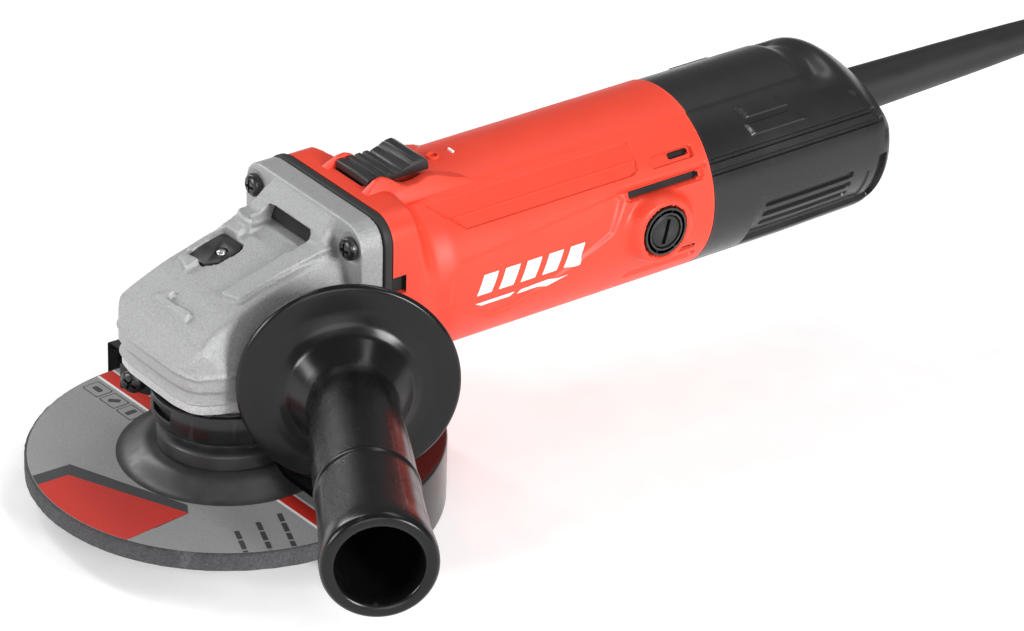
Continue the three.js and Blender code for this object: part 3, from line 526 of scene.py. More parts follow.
def housing_radius(y, angle):
    """The housing's radius, and how much of each spot is the bottom of a hole, which gets painted
    shade.
    """
    t = folded(angle)
    settle = 1 - (1 - np.clip((y - 49.2) / 11.0, 0, 1)) ** 2.4
    corner = 9 + (BARREL_R - 0.35 - 9) * settle
    half = HEAD_HALF + (BARREL_R - 0.35 - HEAD_HALF) * settle
    top = HEAD_TOP + (AXIS_Z + BARREL_R - 0.35 - HEAD_TOP) * settle
    low = HEAD_LOW + (AXIS_Z - BARREL_R + 0.35 - HEAD_LOW) * settle
    r = squircle_radius(angle, half, top, low, corner)
    r = r - 1.1 * ramp(y, 50, 57) * (1 - ramp(y, 57, 66))
    r = r + 0.6 * upper_band(y, t, 66, 400)
    r = r - 0.7 * panel_mask(y, t, [(62, 57), (140, 57), (140, 45), (67, 45)], 0.5)
    r = r - 1.0 * panel_mask(y, t, [(68, 44.7), (140, 44.7), (139, 38), (136.5, 36), (72, 36)], 0.4)
    badge = [(64, 12), (68.6, 18), (129, 28), (130.5, 24), (125, 6), (86, -26), (80, -27),
        (62.3, -8)]
    r = r - 1.0 * panel_mask(y, t, badge, 1.4)
    r = r - 0.6 * slot_mask(y, t, 129, 164.5, 28.2, 29.8, 0.1, 0.4)
    flat = 33.6  # where the faces of the brush bosses stand
    beside = np.radians(np.clip(t, -45, 45))
    rho = np.hypot(y - BRUSH_Y, flat * np.tan(beside))
    boss = flat / np.cos(beside)
    face = 1 - ramp(rho, 9.9, 14.4)
    r = r * (1 - face) + boss * face
    well = 1 - ramp(rho, 8.35, 8.6)
    r = r * (1 - well) + 29.4 * well
    for depth, *recess in ((1.3, 144.6, 161.0, 35.8, 43.6, 1.2, 0.25),
            (1.0, 132.0, 162.4, 21.6, 28.6, 1.3, 0.25), (1.2, 134.0, 162.0, -35, -30, 0.8, 0.3),
            (2.2, 52, 70, 84, 96, 1.0, 0.4)):
        r = r - depth * slot_mask(y, t, *recess)
    seam = slot_mask(y, angle % 360, 66, 164, 269.4, 270.6, 0.1, 0.5)
    r = r - 0.3 * seam
    # The vent holes are shallow, and their bottoms get painted shade for the dark inside of the
    # housing.
    hole = slot_mask(y, angle % 360, 45.6, 47.2, 80, 105, 0.4, 0.3)
    for vent in ((152.4, 160.2, 38.9, 42.8, 0.9, 0.3), (133.6, 160.8, 22.6, 27.4, 0.8, 0.3),
            (151.5, 160.2, -25.5, -21.5, 1.0, 0.3), (38.0, 44.6, 13.0, 22.6, 0.3, 0.3)):
        hole = np.maximum(hole, slot_mask(y, t, *vent))
    return r - 2.0 * hole, hole


def cover_radius(y, angle):
    """The rear cover's radius. Its vents have no bottom of another colour."""
    t = folded(angle)
    r = np.full(np.shape(t), 30.55) - 0.55 * ramp(y, 200, 240)
    r = r + 0.5 * upper_band(y, t, 100, 216.5 + 3.5 * np.cos(np.radians((t - 90) * 3)))
    r = r - 1.8 * (1 - ramp(np.abs(t - 90), 24, 38)) * ramp(y, 213, 218) * (1 - ramp(y, 219, 227))
    for y1, t0, t1 in ((202, 48.3, 55.8), (206, 37.0, 44.2)):
        r = r + 0.5 * panel_mask(y, t, [(184, t1), (y1 - 2.5, t1), (y1 + 1, t0), (186, t0)], 0.35)
    for low in (20.6, 28.0):
        r = r - 0.8 * slot_mask(y, t, 150, 238.5, low, low + 2.7, 0.3, 0.55)
    r = r - 1.8 * panel_mask(y, t, [(184, -44), (184, -7), (187.5, -1), (239, -1), (239, -44)], 0.5)
    inner = [(187, -42), (188.5, -6), (228, -6), (233.5, -14), (233.5, -42)]
    r = r - 0.5 * panel_mask(y, t, inner, 0.35)
    vents = 0 * r
    for middle in (-13, -22, -31):
        vents = np.maximum(vents, slot_mask(y, t, 190, 227, middle - 2.4, middle + 2.4, 1.0, 0.3))
    r = r - vents
    tail = np.clip((y - 234.5) / (COVER_Y[1] - 234.5), 0, 1)
    r = r - 4.2 * (1 - np.sqrt(1 - 0.96 * tail ** 2))
    past = np.maximum(y - 226, 0)
    height = 87.4 - 0.42 * past - 0.022 * past ** 2 - AXIS_Z
    up = np.maximum(np.sin(np.radians(np.clip(t, 5, 175))), 0.05)
    bend = 4 * 0.016 * np.cos(np.radians(t)) ** 2 * height
    plane = 2 * height / (up + np.sqrt(up ** 2 + bend))
    soft = 1.2
    mix = np.clip(0.5 + 0.5 * (plane - r) / soft, 0, 1)
    return plane * (1 - mix) + r * mix - soft * mix * (1 - mix), None


def around_axis(r, y, t, z=AXIS_Z):
    """Points at a radius and an angle in degrees about a line along Y."""
    c, s = np.cos(np.radians(t)), np.sin(np.radians(t))
    return np.stack([r * c, y + 0 * t, z + r * s], axis=-1)


def barrel_rings(y_lines, t_lines, radius):
    y, t = np.meshgrid(y_lines, t_lines, indexing="ij")
    r, hole = radius(y, t)
    return around_axis(r, y, t), r, hole


def ring_of(t_lines, y, r, z=AXIS_Z):
    return around_axis(r, y, t_lines, z)[None]


def shell_piece(name, rings, looks, replaces, hole=None):
    """Joins rings of points into a closed shell. hole says where it gets the second finish, the
    painted shade at the bottom of vent holes.
    """
    points = np.concatenate(rings)
    rows, cols = points.shape[:2]
    faces = grid_faces(rows, cols, wrap_rows=True)
    obj = piece(name, points.reshape(-1, 3).tolist(), faces, looks, replaces, 40.0)
    if hole is not None:
        # Painted shade on the vent hole bottoms.
        deep = hole[:-1] > 0.5
        flat = np.zeros(rows * cols, np.int32)
        flat[: deep.size] = deep.ravel()
        obj.data.polygons.foreach_set("material_index", flat)


def mirrored_angles(angles):
    return sorted([a % 360 for a in angles] + [(180 - a) % 360 for a in angles])


def motor_housing():
    t_marks = mirrored_angles([57, 45, 36, 29, 26, 23, 64, 43, 38, -22, -25, -31, -33, 11.5, 23.4,
        15.7, -15.7])
    t_marks += [76, 82, 84, 96, 98, 104]
    y_marks = [44.8, 133.5, 160.3, 149.2, 145, 164.5, 151.5, 135.2, 152.1, 62, 140, 41.4, 45.2]
    t_lines = grid_lines(0, 360, 1.15, t_marks, 0.42, 0.9)[:-1]
    y_lines = grid_lines(*HOUSING_Y, 0.9, y_marks, 0.22, 0.45)
    outer, _, hole = barrel_rings(y_lines, t_lines, housing_radius)
    inner = BARREL_R - 4.4
    rings = [outer, ring_of(t_lines, HOUSING_Y[1], inner), ring_of(t_lines, HOUSING_Y[0], inner)]
    shell_piece("motor_housing_shell", rings, ["orange", "vent"], "motor_housing",
        hole)
    for i in range(5):
        low_y = 73.0 + 8.4 * i
        mark = [(low_y, -7.5), (low_y + 5.6, -7.5), (low_y + 8.2, 5.5), (low_y + 2.6, 5.5)]
        painted(f"badge_bar_{i}", mark)
    painted("badge_wing_low", [(73.0, -13.5), (88.0, -13.5), (86.6, -16.0), (75.4, -16.0)])
    painted("badge_wing_high", [(90.6, -13.5), (108.0, -12.0), (100.0, -15.6), (89.2, -16.0)])
    walls = [(40.6, 83), (40.6, 87.0), (44.5, 89.8), (47.5, 91.8), (50.3, 92.2), (53, 91.0),
        (55.6, 88.9), (58.2, 87.9), (62, 87.9), (66, 88.9), (69.4, 88.6), (73, 87.3), (79, 85.6),
        (84, 83)]
    for word, side in SIDES:
        wall = prism(filleted([(*p, 2.0) for p in walls], 4), "X",
            *sorted((side * 9.0, side * 14.5)))
        cut(wall, half_space((side * 11.0, 0, 91.5), (side * 0.9, 0, 0.42)))
        adopt(f"switch_wall_{word}", bevelled(wall, 0.6, 3), "orange")
    ring = lathe([(1.5, 87.2), (2.1, 87.2), (2.1, 88.35), (1.5, 88.35)], 32, True)
    piece("switch_mark_ring", [(x, y + 76.6, z) for x, y, z in ring[0]], ring[1], "orange")
    dash = prism(filleted([(-1.4, 83.2, 0.3), (1.4, 83.2, 0.3), (1.4, 84.0, 0.3),
        (-1.4, 84.0, 0.3)], 3), "Z", 87.0, 88.2)
    adopt("switch_mark_dash", in_metres(dash), "white_print")


def painted(name, corners):
    """A thin white print on both sides of the motor housing, within four (y, degrees) corners."""
    across, along = 10, 24
    u, v = np.meshgrid(np.linspace(0, 1, along), np.linspace(0, 1, across), indexing="ij")
    (a, b, c, d) = (np.array(p) for p in corners)
    spread = ((1 - u) * (1 - v))[..., None] * a + (u * (1 - v))[..., None] * b
    spread = spread + (u * v)[..., None] * c + ((1 - u) * v)[..., None] * d
    y, t = spread[..., 0], spread[..., 1]
    r = housing_radius(y, t)[0]
    grid = np.arange(along * across).reshape(along, across)
    front = np.stack([grid[:-1, :-1], grid[:-1, 1:], grid[1:, 1:], grid[1:, :-1]], axis=-1)
    front = front.reshape(-1, 4).tolist()
    faces = front + [[i + grid.size for i in reversed(f)] for f in front]
    rim = [grid[:, 0], grid[-1, 1:], grid[-2::-1, -1], grid[0, -2:0:-1]]
    rim = np.concatenate(rim).tolist()
    for p, q in zip(rim, rim[1:] + rim[:1]):
        faces.append([p, q, q + grid.size, p + grid.size])
    for word, side in SIDES:
        layers = [around_axis(r + lift, y, t).reshape(-1, 3) * (side, 1, 1)
            for lift in (0.07, -0.3)]
        piece(f"{name}_{word}", np.concatenate(layers).tolist(), faces, "white_print")


def rear_cover():
    t_marks = mirrored_angles([30.7, 28.0, 23.3, 20.6, 55.8, 48.3, 44.2, 37, -1, -6, -11, -15, -20,
        -24, -29, -33, 64, -43])
    y_marks = [184, 188, 190, 227, 202, 206, 233.5, 239, 241]
    t_lines = grid_lines(0, 360, 1.3, t_marks, 0.45, 0.9)[:-1]
    y_lines = grid_lines(*COVER_Y, 0.9, y_marks, 0.25, 0.5)
    outer, r, _ = barrel_rings(y_lines, t_lines, cover_radius)
    slope = np.array([r[-1] * k for k in (0.97, 0.85, 0.6)])
    end = [ring_of(t_lines, COVER_Y[1] + 0.25 * i, slope[i]) for i in range(3)]
    bore = 8.3
    end += [ring_of(t_lines, COVER_Y[1] + 0.4, bore + 0.5, CORD_Z),
        ring_of(t_lines, COVER_Y[1], bore, CORD_Z), ring_of(t_lines, COVER_Y[1] - 5, bore, CORD_Z)]
    inner = [ring_of(t_lines, COVER_Y[1] - 5, 15), ring_of(t_lines, COVER_Y[0], 27.5)]
    shell_piece("rear_cover_shell", [outer, *end, *inner], "cover", "rear_cover")


# ---- gear head
def head_plan(inset=0.0, back=34.0):
    i = inset
    return filleted(both_sides([(12.5 - i, -28.2 + i, 14), (21.6 - i, -26.4 + i, 8),
        (25.8 - i, -18, 8), (26.5 - i, -8, 20), (27.4 - i, back, 0)]), 8)


def flange_outline(wider=0.0, taller=0.0):
    """The rounded rectangle of the head's rear flange, which the gasket follows."""
    x, low, top = HEAD_HALF + wider, HEAD_LOW - taller, HEAD_TOP + taller
    return filleted([(x, low, 9), (x, top, 9), (-x, top, 9), (-x, low, 9)], 8)


def half_space(point, normal):
    """A block on the side of a plane that its normal points to."""
    slab = block(-150, 150, -150, 150, 0, 150)
    stand(slab, normal, point)
    return slab


def above(outline, profile):
    """An upright column with an outline seen from above, cut off by a side profile."""
    return combine(prism(outline, "Z", 55, 95), [prism(profile, "X", -45, 45)], "INTERSECT")


LOCK_OUTLINE = [(-15.6, -3.6), (-8.4, -2.9), (-5.4, 0.6), (-4.8, 4.6), (-5.0, 8.0), (-6.8, 10.0),
    (-16.2, 9.8), (-16.6, 3.5)]
LOCK_PIN = (-9.0, 4.1)


def head_core():
    """The head's soft main volume, before its ribs and holes."""
    profile = filleted([(-28.6, 45, 0), (-28.4, 51.4, 1), (-24.2, 60.2, 2), (-21.2, 62.6, 3),
        (-12, 66.8, 16), (0, 70.9, 20), (14, 75.1, 20), (21.4, 76.7, 0.6), (23.0, 82.4, 1),
        (27.2, 86.8, 2), (31, 88.2, 1), (36, 88.2, 0), (36, 45, 0)], 5)
    core = combine(prism(head_plan(), "Z", 46, 95), [prism(profile, "X", -45, 45)], "INTERSECT")
    for side in (1, -1):
        cut(core, half_space((side * 26.6, -12, 51.2), (side * 0.94, -0.06, 0.34)),
            half_space((side * 20.6, -13.6, 65.9), (side * 0.8, -0.24, 0.6)))
    core.data = baked(cast_skin(core, 0.8, 5), remove=False)
    core.modifiers.clear()
    return core


def boss_axis(side, back):
    """The direction of a handle boss's axis, and a point some way back on it."""
    at = HANDLE_AT - back * HANDLE_DIR
    return (side * HANDLE_DIR.x, HANDLE_DIR.y, 0), (side * at.x, at.y, at.z)


def head_parts():
    """What is joined to the main volume: bands, flange, ribs, bosses and marks."""
    bands = ((-0.45, 26, 50.4, 51.3), (0.0, 26, 45.8, 50.6), (0.7, 25, 41.4, 46.4),
        (0.1, 25, 41.2, 42.3))
    parts = [prism(head_plan(inset, back), "Z", low, high) for inset, back, low, high in bands]
    parts.append(prism(flange_outline(), "Y", 28.0, 36.0))
    cheek = filleted([(10, 41.3, 0), (20, 41.3, 0), (25.5, 33, 4), (29, 25.6, 2), (33, 25.6, 0),
        (33, 60, 0), (10, 60, 0)], 4)
    parts.append(prism(cheek, "X", -25, 25))
    rib_top = filleted([(-10, 55, 0), (-10, 69.2, 0), (-8.2, 70.1, 0.4), (8, 75.3, 4),
        (22, 79.5, 3), (26, 79.4, 0), (26, 55, 0)], 4)
    for side in (1, -1):
        rib = [(side * x, y, r) for x, y, r in ((9.6, -8.7, 0.8), (16.3, -7.0, 0.8), (17.4, 8, 3),
            (19.6, 26, 0), (10.4, 26, 0))]
        parts.append(above(filleted(rib, 4), rib_top))
        web = filleted([(side * 24.5, 22, 0), (side * 28.0, 22, 1), (side * 30.6, 28, 1),
            (side * 30.6, 34, 0), (side * 24.5, 34, 0)], 4)
        parts.append(prism(web, "Z", 36, 62))
        parts.append(rod(11.5, *boss_axis(side, 23.5), 13.2, 48, 9.0))
    hump = filleted([(-8.7, 13.9, 0.5), (-13.6, 13.6, 1), (-17.2, 15, 2), (-17.2, 26, 0),
        (-8.7, 26, 0)], 3)
    hump_top = filleted([(13, 55, 0), (13, 78.4, 0), (14.2, 79.7, 1), (19.5, 79.9, 1),
        (23, 82.4, 1), (26, 85, 0), (26, 55, 0)], 3)
    parts.append(above(hump, hump_top))
    arrow = [(-9.9, -20.9), (-4.0, -16.0), (-4.2, -18.9), (8.2, -18.5), (8.8, -20.9)]
    arrow_top = [(-23, 55), (-23, 62.7), (-20, 64.9), (-16, 67.0), (-12, 69.0), (-12, 55)]
    parts.append(above(arrow, arrow_top))
    return parts


def head_holes():
    """What is cut away: the gear chamber, the exhaust window, the lock's pocket and the bores."""
    gap = 0.55  # between the lock's button and its pocket
    pocket = [(x + gap * (1 if x > -10 else -1), y + gap * (1 if y > 3.5 else -1))
        for x, y in LOCK_OUTLINE]
    holes = [block(-11.2, 11.2, 15.5, 40, 76.6, 82.2), prism(pocket, "Z", 63.0, 95),
        rod(22.2, UP, (0, 0, 30), 21.5, 48), rod(22.2, UP, (0, 0, 51.5), 5, 48, 12),
        rod(7.2, UP, (0, 0, 50), 12.6, 32), rod(20.5, ALONG, (0, 30, AXIS_Z), 10, 48),
        rod(13.4, ALONG, (0, 16, AXIS_Z), 20, 40)]
    for side in (1, -1):
        holes.append(rod(4.3, *boss_axis(side, 30), 26, 32))
        for up in (1, -1):
            at = (side * SCREW_X, 8, AXIS_Z + up * SCREW_Z)
            holes += [rod(5.0, ALONG, at, 20.4, 32), rod(2.3, ALONG, at, 40, 16)]
    return holes


def gear_housing():
    body = cut(combine(head_core(), head_parts(), "UNION"), *head_holes())
    adopt("gear_housing_casting", in_metres(cast_skin(body, 0.55, 1)), "cast", "gear_housing",
        70.0)

    # Painted shade: a dark plate just behind the exhaust window, standing in for the shade in the
    # passage inside.
    shade_plate_outline = filleted([(23.6, 76.9, 0.3), (34, 76.9, 1), (34, 82.0, 1), (26.2, 82.0, 0.3),
        (24.6, 79.6, 2)], 3)
    adopt("exhaust_shade_plate", bevelled(prism(shade_plate_outline, "X", -11, 11), 0.3), "vent")

    plate = combine(prism(head_plan(0.8, 22), "Z", 38, 41.0), [rod(20.4, UP, (0, 0, 22), 17, 96)],
        "UNION")
    cut(plate, rod(17.8, UP, (0, 0, 24), 12, 64), rod(11, UP, (0, 0, 20), 6, 48),
        rod(14, UP, (0, 0, 35), 8, 48))
    adopt("bearing_box_casting", bevelled(plate, 0.9, 3, 40), "cast", "bearing_box")


def lock_button():
    side_view = filleted([(-5, 67.8, 0), (-5, 69.2, 0), (-3.0, 70.0, 0.6), (10, 73.4, 0.6),
        (12, 73.6, 0), (12, 67.8, 0)], 4)
    body = combine(prism(filleted([(x, y, 1.3) for x, y in LOCK_OUTLINE], 4), "Z", 66, 80),
        [prism(side_view, "X", -30, 10)], "INTERSECT")
    cut(body, rod(2.0, UP, (*LOCK_PIN, 60), 30, 32))
    adopt("shaft_lock_cap", bevelled(body, 0.35, 2, 35), "switch", "shaft_lock_button",
        body="shaft_lock")
    turned("shaft_lock_bolt", [(0, 49.1), (2.5, 49.1), (2.5, 66), (1.7, 66.4), (1.7, 71.8),
        (0.9, 72.4), (0, 72.5)], "steel", "shaft_lock_pin", at=(*LOCK_PIN, 0), segments=48,
        body="shaft_lock")


def gasket():
    body = cut(prism(flange_outline(0.25, 0.2), "Y", 36.3, 39.5),
        rod(27, ALONG, (0, 30, AXIS_Z), 15, 64))
    adopt("gasket_ring", bevelled(body, 0.7, 3, 40), "gasket", "housing_gasket")


# ---- screws
def cross_screw(name, node, at, direction, head_r, head_h, shank_r, length,
        body="housing"):
    """A pan-head screw with a cross recess. at is the tip, direction points to the head."""
    top = length + head_h
    profile = [(0, 0), (shank_r, 0.4), (shank_r, length), (head_r, length), (head_r, length + 0.9)]
    for i in range(1, 8):
        a = pi / 2 * i / 8
        profile.append((head_r * cos(a) ** 0.7, length + 0.9 + (head_h - 0.9) * sin(a)))
    profile.append((0, top))
    screw = solid(*lathe(profile, 40))
    arm, half = head_r * 0.62, 0.42
    cut(screw, block(-arm, arm, -half, half, top - 1.5, top + 2),
        block(-half, half, -arm, arm, top - 1.5, top + 2),
        rod(0.6, UP, (0, 0, top - 1.9), 3, 12, 1.1))
    stand(screw, direction, at)
    adopt(name, in_metres(screw), "screw", node, 30.0, body)


def screws():
    corners = ((-1, 1), (1, 1), (-1, -1), (1, -1))
    for i, (across, up) in enumerate(corners, 1):
        tip = (across * SCREW_X, 49, AXIS_Z + up * SCREW_Z)
        cross_screw(f"head_screw_{i}", f"housing_screw_{i}", tip, (0, -1, 0), 3.7, 2.7, 2.0, 21.2)
    for i, (x, y) in enumerate([(19.3, -19.2), (-19.3, -19.2), (20, 18.6), (-20, 18.6)]):
        cross_screw(f"plate_screw_{i + 1}", f"bearing_box_screw_{i + 1}", (x, y, 49.7), (0, 0, -1),
            3.2, 2.1, 2.0, 12)
    cross_screw("cover_screw", "rear_cover_screw", (-16, 226.2, 42), ALONG, 3.2, 2.0, 1.7, 16)


# ---- wheel, flanges, guard
WHEEL_R, WHEEL_TOP, HUB_R = 62.5, 8.0, 33.5


def grinding_wheel():
    hub = [(HUB_R - 9.5 * t, WHEEL_TOP + 4.3 * (t * t * (3 - 2 * t)))
        for t in (i / 12 for i in range(13))]
    below = [(24.5, 6.3), (26, 6.1), (31, 2.4), (HUB_R, 2.0)]
    rim = [(WHEEL_R - 0.3, 2.0), (WHEEL_R, 2.3), (WHEEL_R, 7.4), (WHEEL_R - 0.6, 8.0)]
    outer = [(r, WHEEL_TOP) for r in (61.7, 55, 48, 41, 34.4)]
    profile = [(11.1, 6.3), *below, *rim, *outer, *hub, (11.1, 12.3)]
    segments = 192
    verts, faces = lathe(profile, segments, closed=True)
    ripple = np.random.default_rng(7).normal(0, 0.07, (len(profile), segments))
    verts = np.array(verts)
    radius = np.hypot(verts[:, 0], verts[:, 1])
    edge = (radius > 61.9) & (verts[:, 2] < 7.9)
    push = 1 + np.where(edge, ripple.ravel() / WHEEL_R, 0)
    verts[:, 0] *= push
    verts[:, 1] *= push
    obj = piece("wheel_disc", verts.tolist(), faces, ["grit", "paper", "hub"], "grinding_wheel",
        50, "spindle_unit")
    first = len(below) + 1 + len(rim)
    index = np.zeros((len(profile), segments), np.int32)
    index[first:first + len(outer) - 1] = 1
    index[first + len(outer) - 1:] = 2
    obj.data.polygons.foreach_set("material_index", index.ravel())

    def printed(name, outline, look, low=7.9, high=8.05):
        ink = prism(outline, "Z", low, high)
        area = solid(*lathe([(HUB_R + 0.9, 7), (61.5, 7), (61.5, 9), (HUB_R + 0.9, 9)], 128, True))
        combine(ink, [area], "INTERSECT")
        adopt(name, in_metres(ink), look, body="spindle_unit")

    printed("label_border", [(-20.4, -70), (-19.4, -45), (21.1, -28.7), (25.4, -31.2), (27, -44),
        (-10, -70)], "grey_print")
    printed("label_panel", [(-14.6, -70), (-14.2, -48.9), (25.4, -31.2), (29.4, -70)], "red_print",
        7.95, 8.1)
    lean = radians(2.1)
    along, across = Vector((cos(lean), sin(lean))), Vector((-sin(lean), cos(lean)))

    def strip(name, a, b, look, high, low=7.9):
        base = Vector((0, -2.9))
        points = [base + along * 70 * s + across * w for s, w in ((-1, a), (1, a), (1, b), (-1, b))]
        printed(name, [tuple(p) for p in points], look, low, high)

    def framed(at, angle, half_x, half_y, corner=0.7):
        spin = Matrix.Rotation(radians(angle), 2)
        corners = [spin @ Vector((a * half_x, b * half_y)) + Vector(at)
            for a, b in ((-1, -1), (1, -1), (1, 1), (-1, 1))]
        return filleted([(*p, corner) for p in corners], 3)

    for i in range(3):
        at = (-54.0 + 9.1 * i, -12.8 + 0.35 * i)
        printed(f"label_box_{i}", framed(at, 2, 4.1, 3.2), "grey_print", high=8.02)
        printed(f"label_box_inner_{i}", framed(at, 2, 3.7, 2.8), "paper", high=8.06)
        printed(f"label_box_mark_{i}", framed(at, 2 + 45 * i, 2.0, 1.0), "grey_print", high=8.1)
    for i in range(3):
        along_line = Vector((cos(radians(-21)), sin(radians(-21))))
        start = Vector((41.0 + 0.6 * i, -8.6 - 8.2 * i))
        marks = [(2.4, 2.4), (8.2, 2.6), (13.6, 2.0), (18.0, 1.6)]
        for j, (shift, half) in enumerate(marks[:3] if i == 2 else marks):
            printed(f"label_line_{i}_{j}", framed(start + along_line * shift, -21, half, 0.8, 0.3),
                "grey_print")
    strip("label_stripe_edge", -3.4, 3.4, "white_print", 8.05)
    strip("label_stripe", -2.5, 2.5, "red_print", 8.1, 7.95)


def flanges():
    turned("flange_disc", [(7.4, 7.7), (10.8, 7.7), (10.8, 12.7), (21.8, 12.7), (21.8, 17.3),
        (21.0, 18.2), (19.4, 19.0), (18.6, 19.8), (18.3, 21.5), (10.4, 21.5), (10.4, 16.9),
        (7.4, 16.9)], "flange", "inner_flange", soft=0.5, closed=True,
        body="spindle_unit")
    nut = solid(*lathe(softened_loop([(7.3, -2), (16.5, -2), (16.5, 1.6), (20.5, 2.2), (20.5, 6.0),
        (7.3, 6.0)], 0.4), 72, True))
    cut(nut, *[rod(1.9, UP, (12 * cos(a), 12 * sin(a), -3), 4.4, 24)
        for a in (pi / 4 + i * pi / 2 for i in range(4))])
    adopt("clamp_nut", in_metres(nut), "flange", "lock_nut", body="spindle_unit")


BAND_ANGLE = radians(-152)  # where the clamp's ears are


def guard():
    profile = softened_loop([(66.2, -6.5), (68, -6.5), (68, 15), (32.6, 15), (29.0, 16.6),
        (23.6, 21.6), (22.0, 23.0), (22.0, 32.5), (20.7, 32.5), (20.7, 21.2), (27.4, 15.0),
        (31.6, 13.2), (66.2, 13.2)], 1.3, 6)
    half = solid(*lathe(profile, 192, True))
    cut(half, block(-80, 80, -90, 0, -20, 60))
    collar = solid(*lathe([(20.7, 21.6), (22.0, 21.6), (22.0, 32.5), (20.7, 32.5)], 128, True))
    combine(half, [collar], "UNION")
    adopt("guard_shell", bevelled(half, 0.35, 2, 50), "guard", "wheel_guard",
        body="guard")

    z0, z1 = 23.3, 31.8
    strap = solid(*lathe([(22.3, z0), (23.5, z0), (23.5, z1), (22.3, z1)], 128, True))
    ears = cut(block(22.4, 34.5, -5.4, 5.4, z0, z1), block(20, 40, -3.2, 3.2, z0 - 2, z1 + 2))
    combine(strap, [ears], "UNION")
    cut(strap, block(15, 30, -3.2, 3.2, z0 - 2, z1 + 2), rod(2.3, ALONG, (29.5, -9, (z0 + z1) / 2),
        18, 32))
    strap.data.transform(Matrix.Rotation(BAND_ANGLE, 4, "Z"))
    slot = filleted([(-5.2, 26.6, 0.8), (5.2, 26.6, 0.8), (5.2, 29.6, 0.8), (-5.2, 29.6, 0.8)], 3)
    window = prism(slot, "Y", -26, -21)
    window.data.transform(Matrix.Rotation(radians(-4), 4, "Z"))
    cut(strap, window)
    adopt("band_strap", bevelled(strap, 0.3, 2, 40), "guard", "guard_band",
        body="guard")
    spin = Matrix.Rotation(BAND_ANGLE, 3, "Z")
    direction = spin @ Vector(ALONG)
    tip = spin @ Vector((29.5, -8.0, 0)) + Vector((0, 0, (z0 + z1) / 2))
    cross_screw("band_screw", "guard_clamp_screw", tip, direction, 3.9, 2.8, 2.0, 13.8,
        "guard")


# ---- side handle
def side_handle():
    end = HANDLE_LENGTH
    profile = softened([(0, 2.6), (5.2, 2.6), (5.2, -2.4), (9.6, -2.4), (10.6, 0), (32.6, 0),
        (33.9, 0.9), (33.9, 1.7), (33.2, 2.6), (31.4, 3.0), (26, 3.6), (22, 4.7), (19.2, 6.6),
        (17.4, 9.4), (15.4, 12.2), (13.9, 14.4), (13.3, 17), (13.5, 21), (14.1, 28), (14.7, 38),
        (15.2, 52), (15.4, 64.6), (15.9, 65.6), (15.9, 66.8), (15.4, 67.8), (15.6, 74), (15.9, 84),
        (16.4, 94), (17.1, 100.5), (17.3, end - 4), (17.2, end - 1.4), (16.2, end - 0.1),
        (14.4, end), (13.0, end - 0.6), (12.5, end - 3), (12.2, end - 20), (11.7, end - 50),
        (0, end - 50)], 1.0, 4)
    dense = [profile[0]]
    for a, b in zip(profile, profile[1:]):
        steps = max(1, int(dist(a, b) / 2.5)) if a[0] > 12.9 and b[0] > 12.9 else 1
        dense += [tuple(Vector(a).lerp(Vector(b), i / steps)) for i in range(1, steps + 1)]
    segments = 144
    verts, faces = lathe(dense, segments)
    obj = piece("handle_grip", aimed(verts, HANDLE_DIR, HANDLE_AT), faces, "grip", "side_grip",
        50)
    local = np.array(verts)
    s, r = local[:, 2], np.hypot(local[:, 0], local[:, 1])
    around = np.degrees(np.arctan2(local[:, 1], local[:, 0]))
    stripe = np.abs((around + 15) % 120 - 60) / 60
    grained = ramp(s, 12, 16) * (1 - ramp(s, 97, 100)) * ramp(r, 12.9, 13.2)
    grained *= 1 - ramp(stripe, 0.74, 0.8)
    grained *= 1 - (1 - ramp(np.abs(s - 66.2), 1.4, 2.2))
    layer = obj.data.attributes.new("grained", "FLOAT", "POINT")
    layer.data.foreach_set("value", grained.astype(np.float32))
    turned("handle_stud", [(0, -24.5), (3.9, -24.2), (3.9, -8.2), (8.4, -8.2), (8.4, -2.8),
        (4.8, -2.8), (4.8, 2.2), (0, 2.2)], "steel", "side_grip_stud", HANDLE_DIR, HANDLE_AT, 0.3,
        48)


# ---- switch and brush caps
def switch():
    side_view = [(46, 89.1, 0.3), (46.2, 91.4, 0.6)]
    for i in range(4):
        y, z = 47.4 + 2.9 * i, 91.7
        side_view += [(y, z, 0.3), (y + 1.7, z, 0.3), (y + 2.0, z - 0.6, 0.2),
            (y + 2.5, z - 0.6, 0.2)]
    side_view += [(59.2, 91.5, 0.8), (61.4, 92.2, 0.4), (61.6, 91.9, 0.1), (62.0, 92.4, 0.3),
        (63.6, 93.2, 0.3), (63.8, 92.9, 0.1), (64.2, 93.4, 0.4), (66.6, 93.6, 1.2),
        (68.4, 92.6, 1.0), (69, 90.6, 0.4), (69, 89.1, 0)]
    body = prism(filleted(side_view, 3), "X", -8.3, 8.3)
    adopt("slide_button", bevelled(body, 0.4, 2, 40), "switch", "switch_button",
        body="switch_slider")


def brush_caps():
    for word, side in SIDES:
        out = (side, 0, 0)
        ring = [(5.9, 27), (8.1, 27), (8.1, 33.6), (7.7, 34.0), (6.2, 34.0), (5.9, 33.6)]
        turned(f"brush_ring_{word}", ring, "cover", None, out, (0, BRUSH_Y, AXIS_Z), 0.25, 72, True)
        cap = solid(*lathe(softened([(0, 27.3), (5.6, 27.3), (5.6, 33.4), (5.2, 33.8), (0, 34.1)],
            0.3), 64))
        cut(cap, block(-4.3, 4.3, -0.75, 0.75, 32.6, 36))
        cap.data.transform(Matrix.Rotation(radians(-side * 14), 4, "Z"))
        stand(cap, out, (0, BRUSH_Y, AXIS_Z))
        adopt(f"brush_plug_{word}", in_metres(cap), "switch", f"{word}_brush_cap",
            30)


